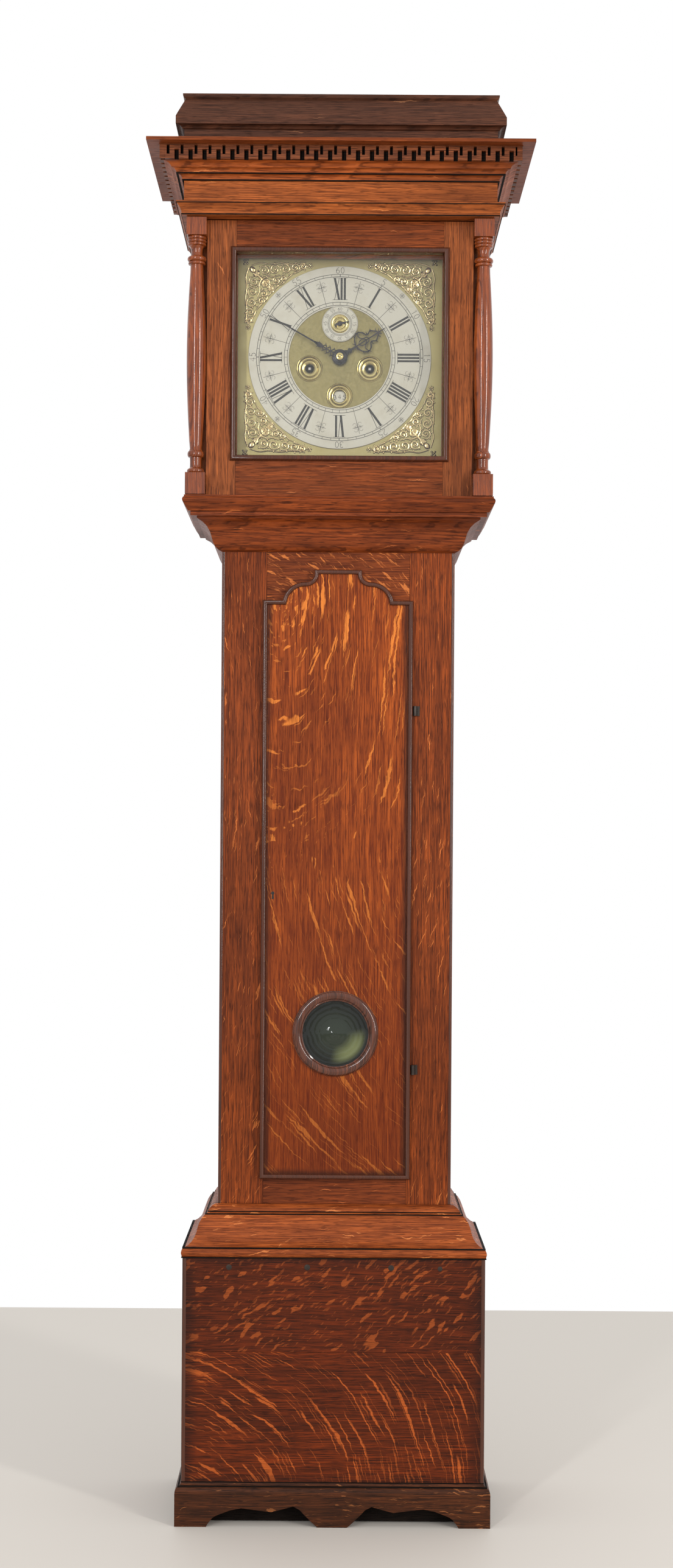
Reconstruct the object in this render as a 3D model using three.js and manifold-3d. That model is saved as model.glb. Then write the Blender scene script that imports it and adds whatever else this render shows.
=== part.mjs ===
// A longcase clock: oak case, lift-off hood with a glazed door, square brass dial,
// eight-day weight-driven striking movement and a seconds pendulum.
// Millimetres. +X is to the right of the clock's face, +Y to its back, +Z up.
// The origin is on the floor, under the middle of the clock's box.
import * as THREE from 'three';
import { mergeVertices } from 'three/addons/utils/BufferGeometryUtils.js';
import Module from 'manifold-3d';

const wasm = await Module();
wasm.setup();

// ---------------------------------------------------------------- driving dimensions
const GAP = 0.3; // clearance between pieces that touch
const TRUNK_HALF = 168.5; // half the trunk's width; mouldings overhang it
const TRUNK_DEPTH = 180;
const BACK = 142.75; // the back of the backboard
const FRONT = BACK - TRUNK_DEPTH; // the trunk's front face
const FRONT_BOARD = 18;
const SIDE_BOARD = 15;
const BACKBOARD = 12;

// Heights of the case's stages
const PLINTH_BOARD_TOP = 46.6;
const PLINTH_TOP = 62;
const BASE_SEAM = 248;
const BASE_TOP = 382;
const SHOULDER_TOP = 453;
const THROAT_BOTTOM = 1400;
const THROAT_TOP = 1452;
const HOOD_BASE_TOP = 1474.3;
const HOOD_DOOR_BOTTOM = 1474.6;
const HOOD_DOOR_TOP = 1871.5;
const FRIEZE_BOTTOM = 1872.6;
const FRIEZE_TOP = 1922;
const FRET_BOTTOM = 1943;
const CORNICE_TOP = 1963.6;
const SHELF_TOP = 1968.5;
const CADDY_TOP = 2046;

// Overhangs past the trunk, the same at the front and at both sides
const PLINTH_OUT = 57;
const BASE_OUT = 47.6;
const THROAT_OUT = 44;
const FRIEZE_OUT = 55.3;
const FRET_GROUND_OUT = 80.5;
const SHELF_OUT = 105.5;
const CADDY_OUT = 67;

// Trunk door, a lipped board with a stepped round head
const DOOR_HALF = 102;
const DOOR_BOTTOM = 497;
const DOOR_CREST = 1367.2;
const DOOR_LIP = 7;
const DOOR_PROUD = 8;
const OPENING_CLEARANCE = 1.8; // the lip hides it, and the board's far edge needs it to swing out
const LENTICLE_Z = 701.3;
const LENTICLE_GLASS = 47.7;
const LENTICLE_RING = 62;
const HINGE_X = 112.5;
const HINGE_Y = -42;
const LOCK_Z = 902;

// Hood
const HOOD_DOOR_HALF = 211.2;
const HOOD_DOOR_OUT = 36;
const HOOD_DOOR_BOARD = 20;
const HOOD_SIDE_BOARD = 11.7;
const HOOD_GLASS_HALF = 149;
const HOOD_GLASS_BOTTOM = 1534;
const HOOD_GLASS_TOP = 1826;
const COLUMN_X = 205.8;
const COLUMN_OUT = 53;
const COLUMN_BLOCK = 28.6;

// Dial and movement, heights measured from the dial's centre
const DIAL_Z = 1683;
const DIAL_HALF = 152.5;
const RING_OUTER = 132.8;
const RING_INNER = 73.9;
const WINDING_X = 43.7;
const WINDING_Z = -15.8;
const SECONDS_Z = 49;
const SECONDS_R = 24.4; // it just clears the chapter ring
const DATE_WINDOW_Z = -56;
const DATE_DISC_Z = -90;
const PLATE_HALF = 66;
const PLATE_BOTTOM = -82.7;
const PLATE_TOP = 95;
const PLATE_FRONT = 2;
const PLATE_BACK = 71;
const PLATE = 3.5;
const SEATBOARD_BOTTOM = 1580;
const SEATBOARD = 19.7;
const BARREL_R = 25;
const GREAT_WHEEL_R = 40;
const ANCHOR_Z = 80;
const BELL_X = 30;
const BELL_Y = 36;
const HAMMER_X = 54;
const HAMMER_Z = 77;
const HOUR_ANGLE = 57; // clockwise from twelve, degrees
const MINUTE_ANGLE = 299.7;
const SECONDS_ANGLE = 75;

// Pendulum and weights
const PENDULUM_Y = 95;
const PENDULUM_LENGTH = 1018; // suspension to the bob's middle
const BOB_R = 56;
const LINE_R = 1.2;
const PULLEY_R = 20;
const LINE_LOOP_R = PULLEY_R + LINE_R + GAP;
const WEIGHT_X = WINDING_X + BARREL_R + 1 + LINE_LOOP_R;
const WEIGHT_Y = 34;
const WEIGHT_BOTTOM = 150;
const WEIGHT_TOP = 340;
const WEIGHT_R = 30;
const PULLEY_Z = 400;

// ---------------------------------------------------------------- materials
const finish = (color, roughness, metalness = 0) =>
  new THREE.MeshStandardMaterial({ color, roughness, metalness });
const oakCase = finish(0x7a4522, 0.45);
const oakDoor = finish(0x9a5a2a, 0.4);
const oakDark = finish(0x4a2f1d, 0.5);
const oakPale = finish(0x9b7a55, 0.7);
const brass = finish(0xb08d45, 0.35, 1);
const silvered = finish(0xcfcabb, 0.4, 0.8);
const bluedSteel = finish(0x1b1c22, 0.35, 0.9);
const iron = finish(0x3a3a3a, 0.6, 0.8);
const gut = finish(0xb9a27a, 0.8);
const clearGlass = finish(0xe8f0ee, 0.05);
const bullseyeGlass = finish(0x2f4a3c, 0.1);
clearGlass.transparent = bullseyeGlass.transparent = true;
clearGlass.opacity = 0.25;
bullseyeGlass.opacity = 0.6;

// ---------------------------------------------------------------- geometry helpers
/** A geometry with shared vertices, no flat triangles, and its faces pointing out. */
function closed(geometry) {
  const bare = geometry.clone();
  bare.deleteAttribute('normal');
  bare.deleteAttribute('uv');
  const merged = mergeVertices(bare, 1e-4);
  const p = merged.getAttribute('position');
  const old = merged.index.array;
  const corner = (i) => new THREE.Vector3().fromBufferAttribute(p, i);
  const index = [];
  let volume = 0;
  for (let i = 0; i < old.length; i += 3) {
    const [a, b, c] = [old[i], old[i + 1], old[i + 2]];
    if (a === b || b === c || a === c) continue;
    index.push(a, b, c);
    volume += corner(a).dot(corner(b).cross(corner(c)));
  }
  if (volume < 0) {
    for (let i = 0; i < index.length; i += 3) {
      [index[i], index[i + 1]] = [index[i + 1], index[i]];
    }
  }
  merged.setIndex(index);
  return merged;
}

function toSolid(geometry) {
  const shape = closed(geometry);
  return new wasm.Manifold(new wasm.Mesh({
    numProp: 3,
    vertProperties: new Float32Array(shape.getAttribute('position').array),
    triVerts: new Uint32Array(shape.index.array),
  }));
}

function toGeometry(solid) {
  const { vertProperties, triVerts } = solid.getMesh();
  const geometry = new THREE.BufferGeometry();
  geometry.setAttribute('position', new THREE.BufferAttribute(vertProperties, 3));
  geometry.setIndex(new THREE.BufferAttribute(triVerts, 1));
  return geometry;
}

const join = (...parts) => toGeometry(parts.map(toSolid).reduce((a, b) => a.add(b)));
const cut = (part, ...tools) =>
  toGeometry(tools.map(toSolid).reduce((a, b) => a.subtract(b), toSolid(part)));

/** A box between two corners. */
function box(x0, x1, y0, y1, z0, z1) {
  return new THREE.BoxGeometry(x1 - x0, y1 - y0, z1 - z0)
    .translate((x0 + x1) / 2, (y0 + y1) / 2, (z0 + z1) / 2);
}

/** A flat plate standing up and facing the front: its outline is in x and z. */
function panel(points, yFront, yBack) {
  const shape = new THREE.Shape(points.map(([x, z]) => new THREE.Vector2(x, z)));
  const plate = new THREE.ExtrudeGeometry(shape, { depth: yBack - yFront, bevelEnabled: false });
  return plate.rotateX(Math.PI / 2).translate(0, yBack, 0);
}

/** A plate like panel's, with an outline in y and z, and its thickness along x. */
function sidePanel(points, x0, x1) {
  const turned = panel(points, x0, x1); // its thickness lies along y
  return turned.rotateZ(Math.PI / 2).scale(-1, 1, 1);
}

/** A turned piece on a vertical axis, from [radius, z] points. */
function turnedUpright(points, segments = 20) {
  return turnedAcross(points, segments).rotateX(Math.PI / 2);
}

/** A turned piece on an axis from front to back, from [radius, y] points. */
function turnedAcross(points, segments = 20) {
  return new THREE.LatheGeometry(points.map(([r, h]) => new THREE.Vector2(r, h)), segments);
}

const rod = (radius, y0, y1, segments = 10) =>
  turnedAcross([[0, y0], [radius, y0], [radius, y1], [0, y1]], segments);
const post = (radius, z0, z1, segments = 12) =>
  turnedUpright([[0, z0], [radius, z0], [radius, z1], [0, z1]], segments);

/** The points of a path, as [overhang, z] pairs. */
const sampled = (path, steps = 4) => path.getPoints(steps).map((p) => [p.x, p.y]);

/** A moulding mitred round the front and both sides: its section is in overhang and z. */
function wrapped(section, inner) {
  const low = section[0][1];
  const high = section[section.length - 1][1];
  const ring = [[inner, low], ...section, [inner, high]];
  const stations = [
    (o) => [-(TRUNK_HALF + o), BACK],
    (o) => [-(TRUNK_HALF + o), FRONT - o],
    (o) => [TRUNK_HALF + o, FRONT - o],
    (o) => [TRUNK_HALF + o, BACK],
  ];
  const positions = stations.flatMap((place) => ring.flatMap(([o, z]) => [...place(o), z]));
  const n = ring.length;
  const index = [];
  for (let s = 0; s < stations.length - 1; s += 1) {
    for (let i = 0; i < n; i += 1) {
      const [a, b] = [s * n + i, s * n + ((i + 1) % n)];
      index.push(a, b, b + n, a, b + n, a + n);
    }
  }
  const outline = ring.map(([o, z]) => new THREE.Vector2(o, z));
  const last = (stations.length - 1) * n;
  for (const [a, b, c] of THREE.ShapeUtils.triangulateShape(outline, [])) {
    index.push(b, a, c, last + a, last + b, last + c);
  }
  const geometry = new THREE.BufferGeometry();
  geometry.setAttribute('position', new THREE.Float32BufferAttribute(positions, 3));
  geometry.setIndex(index);
  return geometry;
}

/** An arc or quarter ellipse as points, from angle a to angle b in degrees. */
function arc(cx, cz, rx, rz, a, b, steps = 6) {
  return Array.from({ length: steps + 1 }, (_, i) => {
    const t = THREE.MathUtils.degToRad(a + ((b - a) * i) / steps);
    return [cx + rx * Math.cos(t), cz + rz * Math.sin(t)];
  });
}

const mirrored = (points) => points.map(([x, z]) => [-x, z]).reverse();
const mirrorX = (geometry) => closed(geometry.clone().scale(-1, 1, 1));

/** Turns a front-facing piece clockwise about the dial's centre line, in degrees. */
const clockwise = (geometry, degrees) => geometry.rotateY(THREE.MathUtils.degToRad(degrees));

const clock = new THREE.Group();
clock.name = 'longcase_clock';

function assembly(x = 0, y = 0, z = 0) {
  const group = new THREE.Group();
  group.position.set(x, y, z);
  clock.add(group);
  return group;
}

function add(group, name, geometry, material) {
  const mesh = new THREE.Mesh(closed(geometry), material);
  mesh.name = name;
  group.add(mesh);
}

// ---------------------------------------------------------------- plinth and base
function plinth() {
  const inner = 35;
  const profile = new THREE.Path().moveTo(PLINTH_OUT, 0).lineTo(PLINTH_OUT, PLINTH_BOARD_TOP)
    .quadraticCurveTo(PLINTH_OUT, 54, 52.5, 56).quadraticCurveTo(48, 58.5, BASE_OUT, PLINTH_TOP);
  const apron = new THREE.SplineCurve([[-181, -1], [-172, 12], [-160, 18.5], [-130, 27], [-87, 21.6],
    [-56, 30], [-40, 18], [-29, 7], [-19.3, -1]].map(([x, z]) => new THREE.Vector2(x, z)));
  const scallop = sampled(apron, 16);
  const deep = FRONT - PLINTH_OUT - 1;
  const sideCut = [[-50, -1], ...arc(-20, 4, 26, 20, 180, 90), ...arc(60, 4, 26, 20, 90, 0), [90, -1]];
  const half = TRUNK_HALF + PLINTH_OUT + 1;
  return cut(
    wrapped(sampled(profile), inner),
    panel(scallop, deep, FRONT - inner + 1),
    panel(mirrored(scallop), deep, FRONT - inner + 1),
    sidePanel(sideCut, -half, half),
  );
}

function base(group) {
  const half = TRUNK_HALF + BASE_OUT;
  const face = FRONT - BASE_OUT;
  const behind = face + FRONT_BOARD;
  const [bottom, top] = [PLINTH_TOP + GAP, BASE_TOP - GAP];
  add(group, 'plinth', plinth(), oakDark);
  add(group, 'base_front_lower_board', box(-half, half, face, behind, bottom, BASE_SEAM), oakCase);
  add(group, 'base_front_upper_board', box(-half, half, face, behind, BASE_SEAM + GAP, top), oakCase);
  const side = box(half - SIDE_BOARD, half, behind + GAP, BACK - BACKBOARD - GAP, bottom, top);
  add(group, 'base_side_right', side, oakCase);
  add(group, 'base_side_left', mirrorX(side), oakCase);
}

function shoulderMoulding() {
  return wrapped(sampled(new THREE.Path().moveTo(47.4, BASE_TOP)
    .quadraticCurveTo(53.3, 390, 47.6, 396)
    .quadraticCurveTo(33, 401, 29.2, 417)
    .quadraticCurveTo(26.5, 433, 17.6, 439.8)
    .lineTo(13.9, 442.5)
    .quadraticCurveTo(13.5, 448.5, 4.3, SHOULDER_TOP)), GAP);
}

// ---------------------------------------------------------------- trunk
/** The trunk door's outline, moved out by a distance all round. */
function doorOutline(out) {
  const scoop = { x: 47.7, r: 19.8, rz: 18 };
  const round = { drop: 44.6, r: 26.8, rz: 26.6 };
  const end = THREE.MathUtils.radToDeg(Math.asin(out / (round.rz + out)));
  const right = [
    [DOOR_HALF + out, DOOR_BOTTOM - out],
    [DOOR_HALF + out, DOOR_CREST - round.drop + out],
    ...arc(scoop.x, DOOR_CREST - round.drop, round.r + out, round.rz + out, end, 90),
    ...arc(scoop.x, DOOR_CREST, scoop.r - out, scoop.rz - out, 270, 180),
  ];
  if (out > 0) right.push([scoop.x - scoop.r + out, DOOR_CREST + out]);
  return [...right, ...mirrored(right)];
}

const boltPocket = (x0, x1, room) =>
  box(x0, x1, FRONT + 5 - room, FRONT + 13 + room, LOCK_Z - 6 - room, LOCK_Z + 6 + room);

function trunk(group) {
  const opening = DOOR_HALF + OPENING_CLEARANCE;
  const behind = FRONT + FRONT_BOARD;
  const [bottom, top] = [BASE_TOP + 1, THROAT_TOP - GAP];
  const stile = box(opening, TRUNK_HALF, FRONT, behind, bottom, top);
  add(group, 'trunk_stile_right', stile, oakCase);
  const mortise = boltPocket(-opening - 6, -opening + 1, GAP);
  add(group, 'trunk_stile_left', cut(mirrorX(stile), mortise), oakCase);
  const rail = opening - GAP;
  const crossboard = (z0, z1) => box(-rail, rail, FRONT, behind, z0, z1);
  const head = panel(doorOutline(OPENING_CLEARANCE), FRONT - 1, behind + 1);
  add(group, 'trunk_top_rail', cut(crossboard(DOOR_CREST - 40, top), head), oakCase);
  add(group, 'trunk_bottom_rail', crossboard(bottom, DOOR_BOTTOM - OPENING_CLEARANCE), oakCase);
  const side = box(TRUNK_HALF - SIDE_BOARD, TRUNK_HALF, behind + GAP, BACK - BACKBOARD - GAP,
    bottom, SEATBOARD_BOTTOM - GAP);
  add(group, 'trunk_side_right', side, oakCase);
  add(group, 'trunk_side_left', mirrorX(side), oakCase);
}

function backboard() {
  const inPlinth = TRUNK_HALF + 34;
  const inBase = TRUNK_HALF + BASE_OUT;
  const inHood = HOOD_DOOR_HALF - HOOD_SIDE_BOARD - 1;
  const right = [[inPlinth, 12], [inPlinth, PLINTH_TOP + GAP], [inBase, PLINTH_TOP + GAP],
    [inBase, BASE_TOP - GAP], [TRUNK_HALF, BASE_TOP - GAP], [TRUNK_HALF, HOOD_BASE_TOP + 2],
    [inHood, HOOD_BASE_TOP + 2], [inHood, CORNICE_TOP - 10]];
  return panel([...right, ...mirrored(right)], BACK - BACKBOARD, BACK);
}

function throatMoulding() {
  return wrapped(sampled(new THREE.Path().moveTo(1, THROAT_BOTTOM)
    .quadraticCurveTo(12.5, 1404, 14.8, 1418)
    .quadraticCurveTo(18, 1437, 35.3, 1443.7)
    .lineTo(35.3, 1446).lineTo(THROAT_OUT, 1446).lineTo(THROAT_OUT, THROAT_TOP)), GAP);
}

/** One trunk door hinge: its knuckle, and the leaf screwed to the stile. */
function trunkHinge(z) {
  const halfHeight = 7;
  const knuckle = post(3, z - halfHeight, z + halfHeight).translate(HINGE_X, HINGE_Y, 0);
  return join(knuckle, box(HINGE_X, HINGE_X + 7, FRONT - 2.3, FRONT - GAP, z - halfHeight, z + halfHeight));
}

function trunkDoor(group) {
  const behind = FRONT + FRONT_BOARD;
  const face = FRONT - DOOR_PROUD;
  const hole = rod(LENTICLE_GLASS + 2.3, face - 1, behind + 1, 36).translate(0, 0, LENTICLE_Z);
  const board = cut(
    join(panel(doorOutline(0), face, behind), panel(doorOutline(DOOR_LIP), face, FRONT - GAP)),
    hole,
    boltPocket(-DOOR_HALF - 1, -DOOR_HALF + 24, GAP),
  );
  add(group, 'trunk_door_board', board, oakDoor);
  const ring = turnedAcross([[LENTICLE_GLASS, face - GAP], [LENTICLE_RING, face - GAP],
    [LENTICLE_RING, face - 4], [59, face - 6.5], [51, face - 6.5], [LENTICLE_GLASS, face - 3],
    [LENTICLE_GLASS, face - GAP]], 36);
  add(group, 'lenticle_ring', ring.translate(0, 0, LENTICLE_Z), oakDoor);
  const glass = turnedAcross([[0, face + 6], [LENTICLE_GLASS + 2, face + 6],
    [LENTICLE_GLASS + 2, face + 1], [16, face + 1], [11, face - 2], [0, face - 3]], 36);
  add(group, 'lenticle_glass', glass.translate(0, 0, LENTICLE_Z), bullseyeGlass);
  add(group, 'trunk_door_lock_bolt', boltPocket(-DOOR_HALF + 0.1, -DOOR_HALF + 22, 0), iron);
}

// ---------------------------------------------------------------- hood
function hood(group) {
  const inner = 37;
  const baseProfile = new THREE.Path().moveTo(47, THROAT_TOP + GAP)
    .quadraticCurveTo(50, 1456, 52.9, 1462).quadraticCurveTo(58, 1468, 52.9, 1472)
    .lineTo(52.9, HOOD_BASE_TOP);
  add(group, 'hood_base_moulding', wrapped(sampled(baseProfile), 5), oakCase);

  const friezeProfile = new THREE.Path().moveTo(58.2, FRIEZE_BOTTOM)
    .quadraticCurveTo(58.6, 1882, 65.8, 1888.5).lineTo(65.8, 1891).lineTo(FRIEZE_OUT, 1891)
    .lineTo(FRIEZE_OUT, FRIEZE_TOP);
  add(group, 'hood_frieze', wrapped(sampled(friezeProfile), inner), oakCase);

  const bedProfile = new THREE.Path().moveTo(57.4, FRIEZE_TOP + GAP)
    .quadraticCurveTo(58, 1928, 61, 1929).lineTo(65.4, 1930.5)
    .quadraticCurveTo(66, 1936, 72.2, 1936.5).quadraticCurveTo(74, 1942, 82.6, FRET_BOTTOM)
    .lineTo(FRET_GROUND_OUT, FRET_BOTTOM).lineTo(FRET_GROUND_OUT, CORNICE_TOP + 1);
  const shelfHalf = TRUNK_HALF + SHELF_OUT;
  const shelf = box(-shelfHalf, shelfHalf, FRONT - SHELF_OUT, BACK, CORNICE_TOP + GAP, SHELF_TOP);
  add(group, 'hood_cornice', join(wrapped(sampled(bedProfile), inner), shelf), oakDark);

  const caddyProfile = new THREE.Path().moveTo(FRIEZE_OUT, SHELF_TOP + GAP).lineTo(FRIEZE_OUT, 1995)
    .lineTo(58.2, 1996).quadraticCurveTo(60, 2000, CADDY_OUT, 2000).lineTo(CADDY_OUT, 2011)
    .quadraticCurveTo(62.5, 2021, 53.8, 2039).lineTo(56.2, 2041)
    .quadraticCurveTo(58, 2043.5, 57.4, CADDY_TOP);
  const lidHalf = TRUNK_HALF + 45;
  const lid = box(-lidHalf, lidHalf, FRONT - 45, BACK, CADDY_TOP - 10, CADDY_TOP - 2);
  add(group, 'hood_caddy', join(wrapped(sampled(caddyProfile), 40), lid), oakDark);

  const windowHole = box(150, 250, 0, 90, 1590, 1785);
  const side = cut(box(HOOD_DOOR_HALF - HOOD_SIDE_BOARD, HOOD_DOOR_HALF,
    FRONT - HOOD_DOOR_OUT + HOOD_DOOR_BOARD + GAP, BACK, HOOD_DOOR_BOTTOM, FRIEZE_BOTTOM - GAP), windowHole);
  add(group, 'hood_side_right', side, oakCase);
  add(group, 'hood_side_left', mirrorX(side), oakCase);
}

function column() {
  const swell = (t) => 8.8 + 5.1 * Math.sin(Math.PI * t);
  const shaft = Array.from({ length: 9 }, (_, i) => [swell(i / 8), 1541.8 + (263.6 * i) / 8]);
  const turned = turnedUpright([[0, 1505], [11, 1506], [12.4, 1509.7], [11, 1513], [8.2, 1518],
    [8.2, 1527], [11, 1529.6], [11.6, 1534], [10, 1539], ...shaft, [12.5, 1806.5], [12.5, 1809.5],
    [13.5, 1813.6], [11, 1818], [8.2, 1822], [8.2, 1829], [12, 1834], [13.7, 1836], [13.7, 1847],
    [0, 1847]], 20);
  const half = COLUMN_BLOCK / 2;
  const block = (z0, z1) => box(-half, half, -half, half, z0, z1);
  return join(turned, block(1475.3, 1506.5), block(1846.2, HOOD_DOOR_TOP))
    .translate(COLUMN_X, FRONT - COLUMN_OUT + half, 0);
}

function hoodDoor(group) {
  const face = FRONT - HOOD_DOOR_OUT;
  const behind = face + HOOD_DOOR_BOARD;
  const notch = COLUMN_X - COLUMN_BLOCK / 2 - GAP;
  const stile = cut(
    box(HOOD_GLASS_HALF, HOOD_DOOR_HALF, face, behind, HOOD_DOOR_BOTTOM, HOOD_DOOR_TOP),
    box(notch, HOOD_DOOR_HALF + 1, face - 1, face + 11.9, 0, CADDY_TOP),
  );
  add(group, 'hood_door_stile_right', stile, oakCase);
  add(group, 'hood_door_stile_left', mirrorX(stile), oakCase);
  const half = HOOD_GLASS_HALF - GAP;
  add(group, 'hood_door_bottom_rail',
    box(-half, half, face, behind, HOOD_DOOR_BOTTOM, HOOD_GLASS_BOTTOM), oakCase);
  add(group, 'hood_door_top_rail',
    box(-half, half, face, behind, HOOD_GLASS_TOP, HOOD_DOOR_TOP), oakCase);
  add(group, 'hood_door_glass', box(-half, half, face + 12, face + 15,
    HOOD_GLASS_BOTTOM + GAP, HOOD_GLASS_TOP - GAP), clearGlass);
  add(group, 'hood_column_right', column(), oakCase);
  add(group, 'hood_column_left', mirrorX(column()), oakCase);
}

// ---------------------------------------------------------------- dial and hands
function dialPlate() {
  const hole = (r, x, z) => rod(r, FRONT - 1, FRONT + 3, 20).translate(x, 0, z);
  const foot = (x, z) => rod(3, FRONT + 1, PLATE_FRONT - GAP).translate(x, 0, z);
  const plate = join(box(-DIAL_HALF, DIAL_HALF, FRONT, FRONT + 2, -DIAL_HALF, DIAL_HALF),
    foot(58, 80), foot(-58, 80), foot(58, -60), foot(-58, -60));
  return cut(plate, hole(6.5, 0, 0), hole(6.5, WINDING_X, WINDING_Z), hole(6.5, -WINDING_X, WINDING_Z),
    hole(2.5, 0, SECONDS_Z), hole(8.8, 0, DATE_WINDOW_Z));
}

/** One corner mount: a flat casting with two scrolled legs, inside its corner of the dial. */
function spandrel() {
  const far = 141;
  const leg = far - 54;
  const hollow = arc(0, 0, RING_OUTER + 2, RING_OUTER + 2, 70, 20, 10);
  return panel([[far, far], ...arc(leg, far, 10, 10, 180, 270, 3), ...hollow,
    ...arc(far, leg, 10, 10, 180, 270, 3)], FRONT - 2.8, FRONT - GAP);
}

function dial(group) {
  add(group, 'dial_plate', dialPlate(), brass);
  const flatRing = (outer, inner, yFront, segments) => turnedAcross([[inner, FRONT - GAP],
    [outer, FRONT - GAP], [outer, yFront], [inner, yFront], [inner, FRONT - GAP]], segments);
  add(group, 'chapter_ring', flatRing(RING_OUTER, RING_INNER, FRONT - 2.3, 64), silvered);
  const secondsRing = flatRing(SECONDS_R, 3, FRONT - 1.6, 32);
  add(group, 'seconds_ring', secondsRing.translate(0, 0, SECONDS_Z), silvered);
  const corner = closed(spandrel());
  add(group, 'spandrel_upper_right', corner, brass);
  add(group, 'spandrel_upper_left', mirrorX(corner), brass);
  add(group, 'spandrel_lower_right', closed(corner.clone().scale(1, 1, -1)), brass);
  add(group, 'spandrel_lower_left', closed(corner.clone().scale(-1, 1, -1)), brass);
  const dateDisc = rod(42, FRONT + 2.3, FRONT + 3.6, 32).translate(0, 0, DATE_DISC_Z);
  add(group, 'date_disc', dateDisc, silvered);
}

function hands(group) {
  const hourFace = FRONT - 6.4;
  const hourPlate = panel([[-8, -8], [8, -8], [8, 8], [13, 32], [3, 52], [0, 79], [-3, 52], [-13, 32],
    [-8, 8]], hourFace, hourFace + 1.4);
  const pipe = turnedAcross([[3.7, hourFace], [5.4, hourFace], [5.4, -20], [24, -20], [24, -18],
    [3.7, -18], [3.7, hourFace]], 24);
  const bore = rod(3.7, hourFace - 1, -17, 24);
  add(group, 'hour_hand', clockwise(cut(join(hourPlate, pipe), bore), HOUR_ANGLE), bluedSteel);

  const minuteFace = FRONT - 10.2;
  const minutePlate = panel([[-6, -6], [6, -6], [6, 20], [2, 42], [0, 118.5], [-2, 42], [-6, 20]],
    minuteFace, minuteFace + 1.2);
  const cannon = turnedAcross([[0, minuteFace], [3.2, minuteFace], [3.2, -16], [8, -16], [8, -14],
    [0, -14]], 16);
  add(group, 'minute_hand', clockwise(join(minutePlate, cannon), MINUTE_ANGLE), bluedSteel);

  const needle = panel([[-2, -6], [2, -6], [1.6, 2], [0, 15], [-1.6, 2]], FRONT - 4.4, FRONT - 3.5);
  const secondsHand = clockwise(join(needle, rod(2.2, FRONT - 4.6, FRONT - 3.4)), SECONDS_ANGLE);
  add(group, 'seconds_hand', secondsHand.translate(0, 0, SECONDS_Z), bluedSteel);
}

// ---------------------------------------------------------------- movement
function plates(group) {
  const plate = (y0) => box(-PLATE_HALF, PLATE_HALF, y0, y0 + PLATE, PLATE_BOTTOM, PLATE_TOP);
  const pillar = (x, z) => rod(4, PLATE_FRONT + 1, PLATE_BACK - PLATE - GAP).translate(x, 0, z);
  const hole = (r, x, z) => rod(r, PLATE_FRONT - 1, PLATE_BACK + 1).translate(x, 0, z);
  const holes = [hole(2.3, 0, 0), hole(3, WINDING_X, WINDING_Z), hole(3, -WINDING_X, WINDING_Z),
    hole(1.6, 0, SECONDS_Z)];
  const front = join(plate(PLATE_FRONT), pillar(28, 88), pillar(-28, 88), pillar(58, -74), pillar(-58, -74));
  add(group, 'movement_front_plate', cut(front, ...holes), brass);
  const backcock = box(-18, 18, PLATE_BACK - 1, 102, ANCHOR_Z + 5.5, ANCHOR_Z + 13);
  const back = join(plate(PLATE_BACK - PLATE), backcock);
  add(group, 'movement_back_plate', cut(back, ...holes, hole(2.6, 0, ANCHOR_Z)), brass);
}

function trains(group) {
  const barrel = turnedAcross([[0, FRONT + 4], [2.5, FRONT + 4], [2.5, 8.5], [GREAT_WHEEL_R, 8.5],
    [GREAT_WHEEL_R, 11.5], [BARREL_R, 11.5], [BARREL_R, 56], [2.5, 56], [2.5, 70], [0, 70]], 28);
  add(group, 'going_barrel', barrel.clone().translate(WINDING_X, 0, WINDING_Z), brass);
  add(group, 'strike_barrel', barrel.translate(-WINDING_X, 0, WINDING_Z), brass);

  const centreWheel = turnedAcross([[0, -12], [1.8, -12], [1.8, 8], [5.5, 8], [5.5, 13], [1.8, 13],
    [1.8, 59], [30, 59], [30, 61], [1.8, 61], [1.8, 70], [0, 70]], 28);
  add(group, 'centre_wheel', centreWheel, brass);

  const escapeWheel = turnedAcross([[0, FRONT - 3.1], [1.2, FRONT - 3.1], [1.2, 30], [17, 30],
    [17, 32], [1.2, 32], [1.2, 38], [3, 38], [3, 44], [1.2, 44], [1.2, 70], [0, 70]], 28);
  add(group, 'escape_wheel', escapeWheel.translate(0, 0, SECONDS_Z), brass);

  const pallets = panel([[-5, 5], [-19, -10], [-17, -17], [-13.5, -13.5], [-8, -5], [8, -5],
    [13.5, -13.5], [17, -17], [19, -10], [5, 5]], 29.5, 32.5);
  const crutch = box(-2, 2, 83, 86, -125, 2);
  const yoke = box(-7, 7, 85, 89, -125, -121);
  const prong = box(3.2, 7, 88, 100, -125, -121);
  const anchor = join(pallets, rod(2, PLATE_FRONT + PLATE + GAP, 87), crutch, yoke, prong, mirrorX(prong));
  add(group, 'pallet_anchor', anchor.translate(0, 0, ANCHOR_Z), bluedSteel);
}

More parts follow.
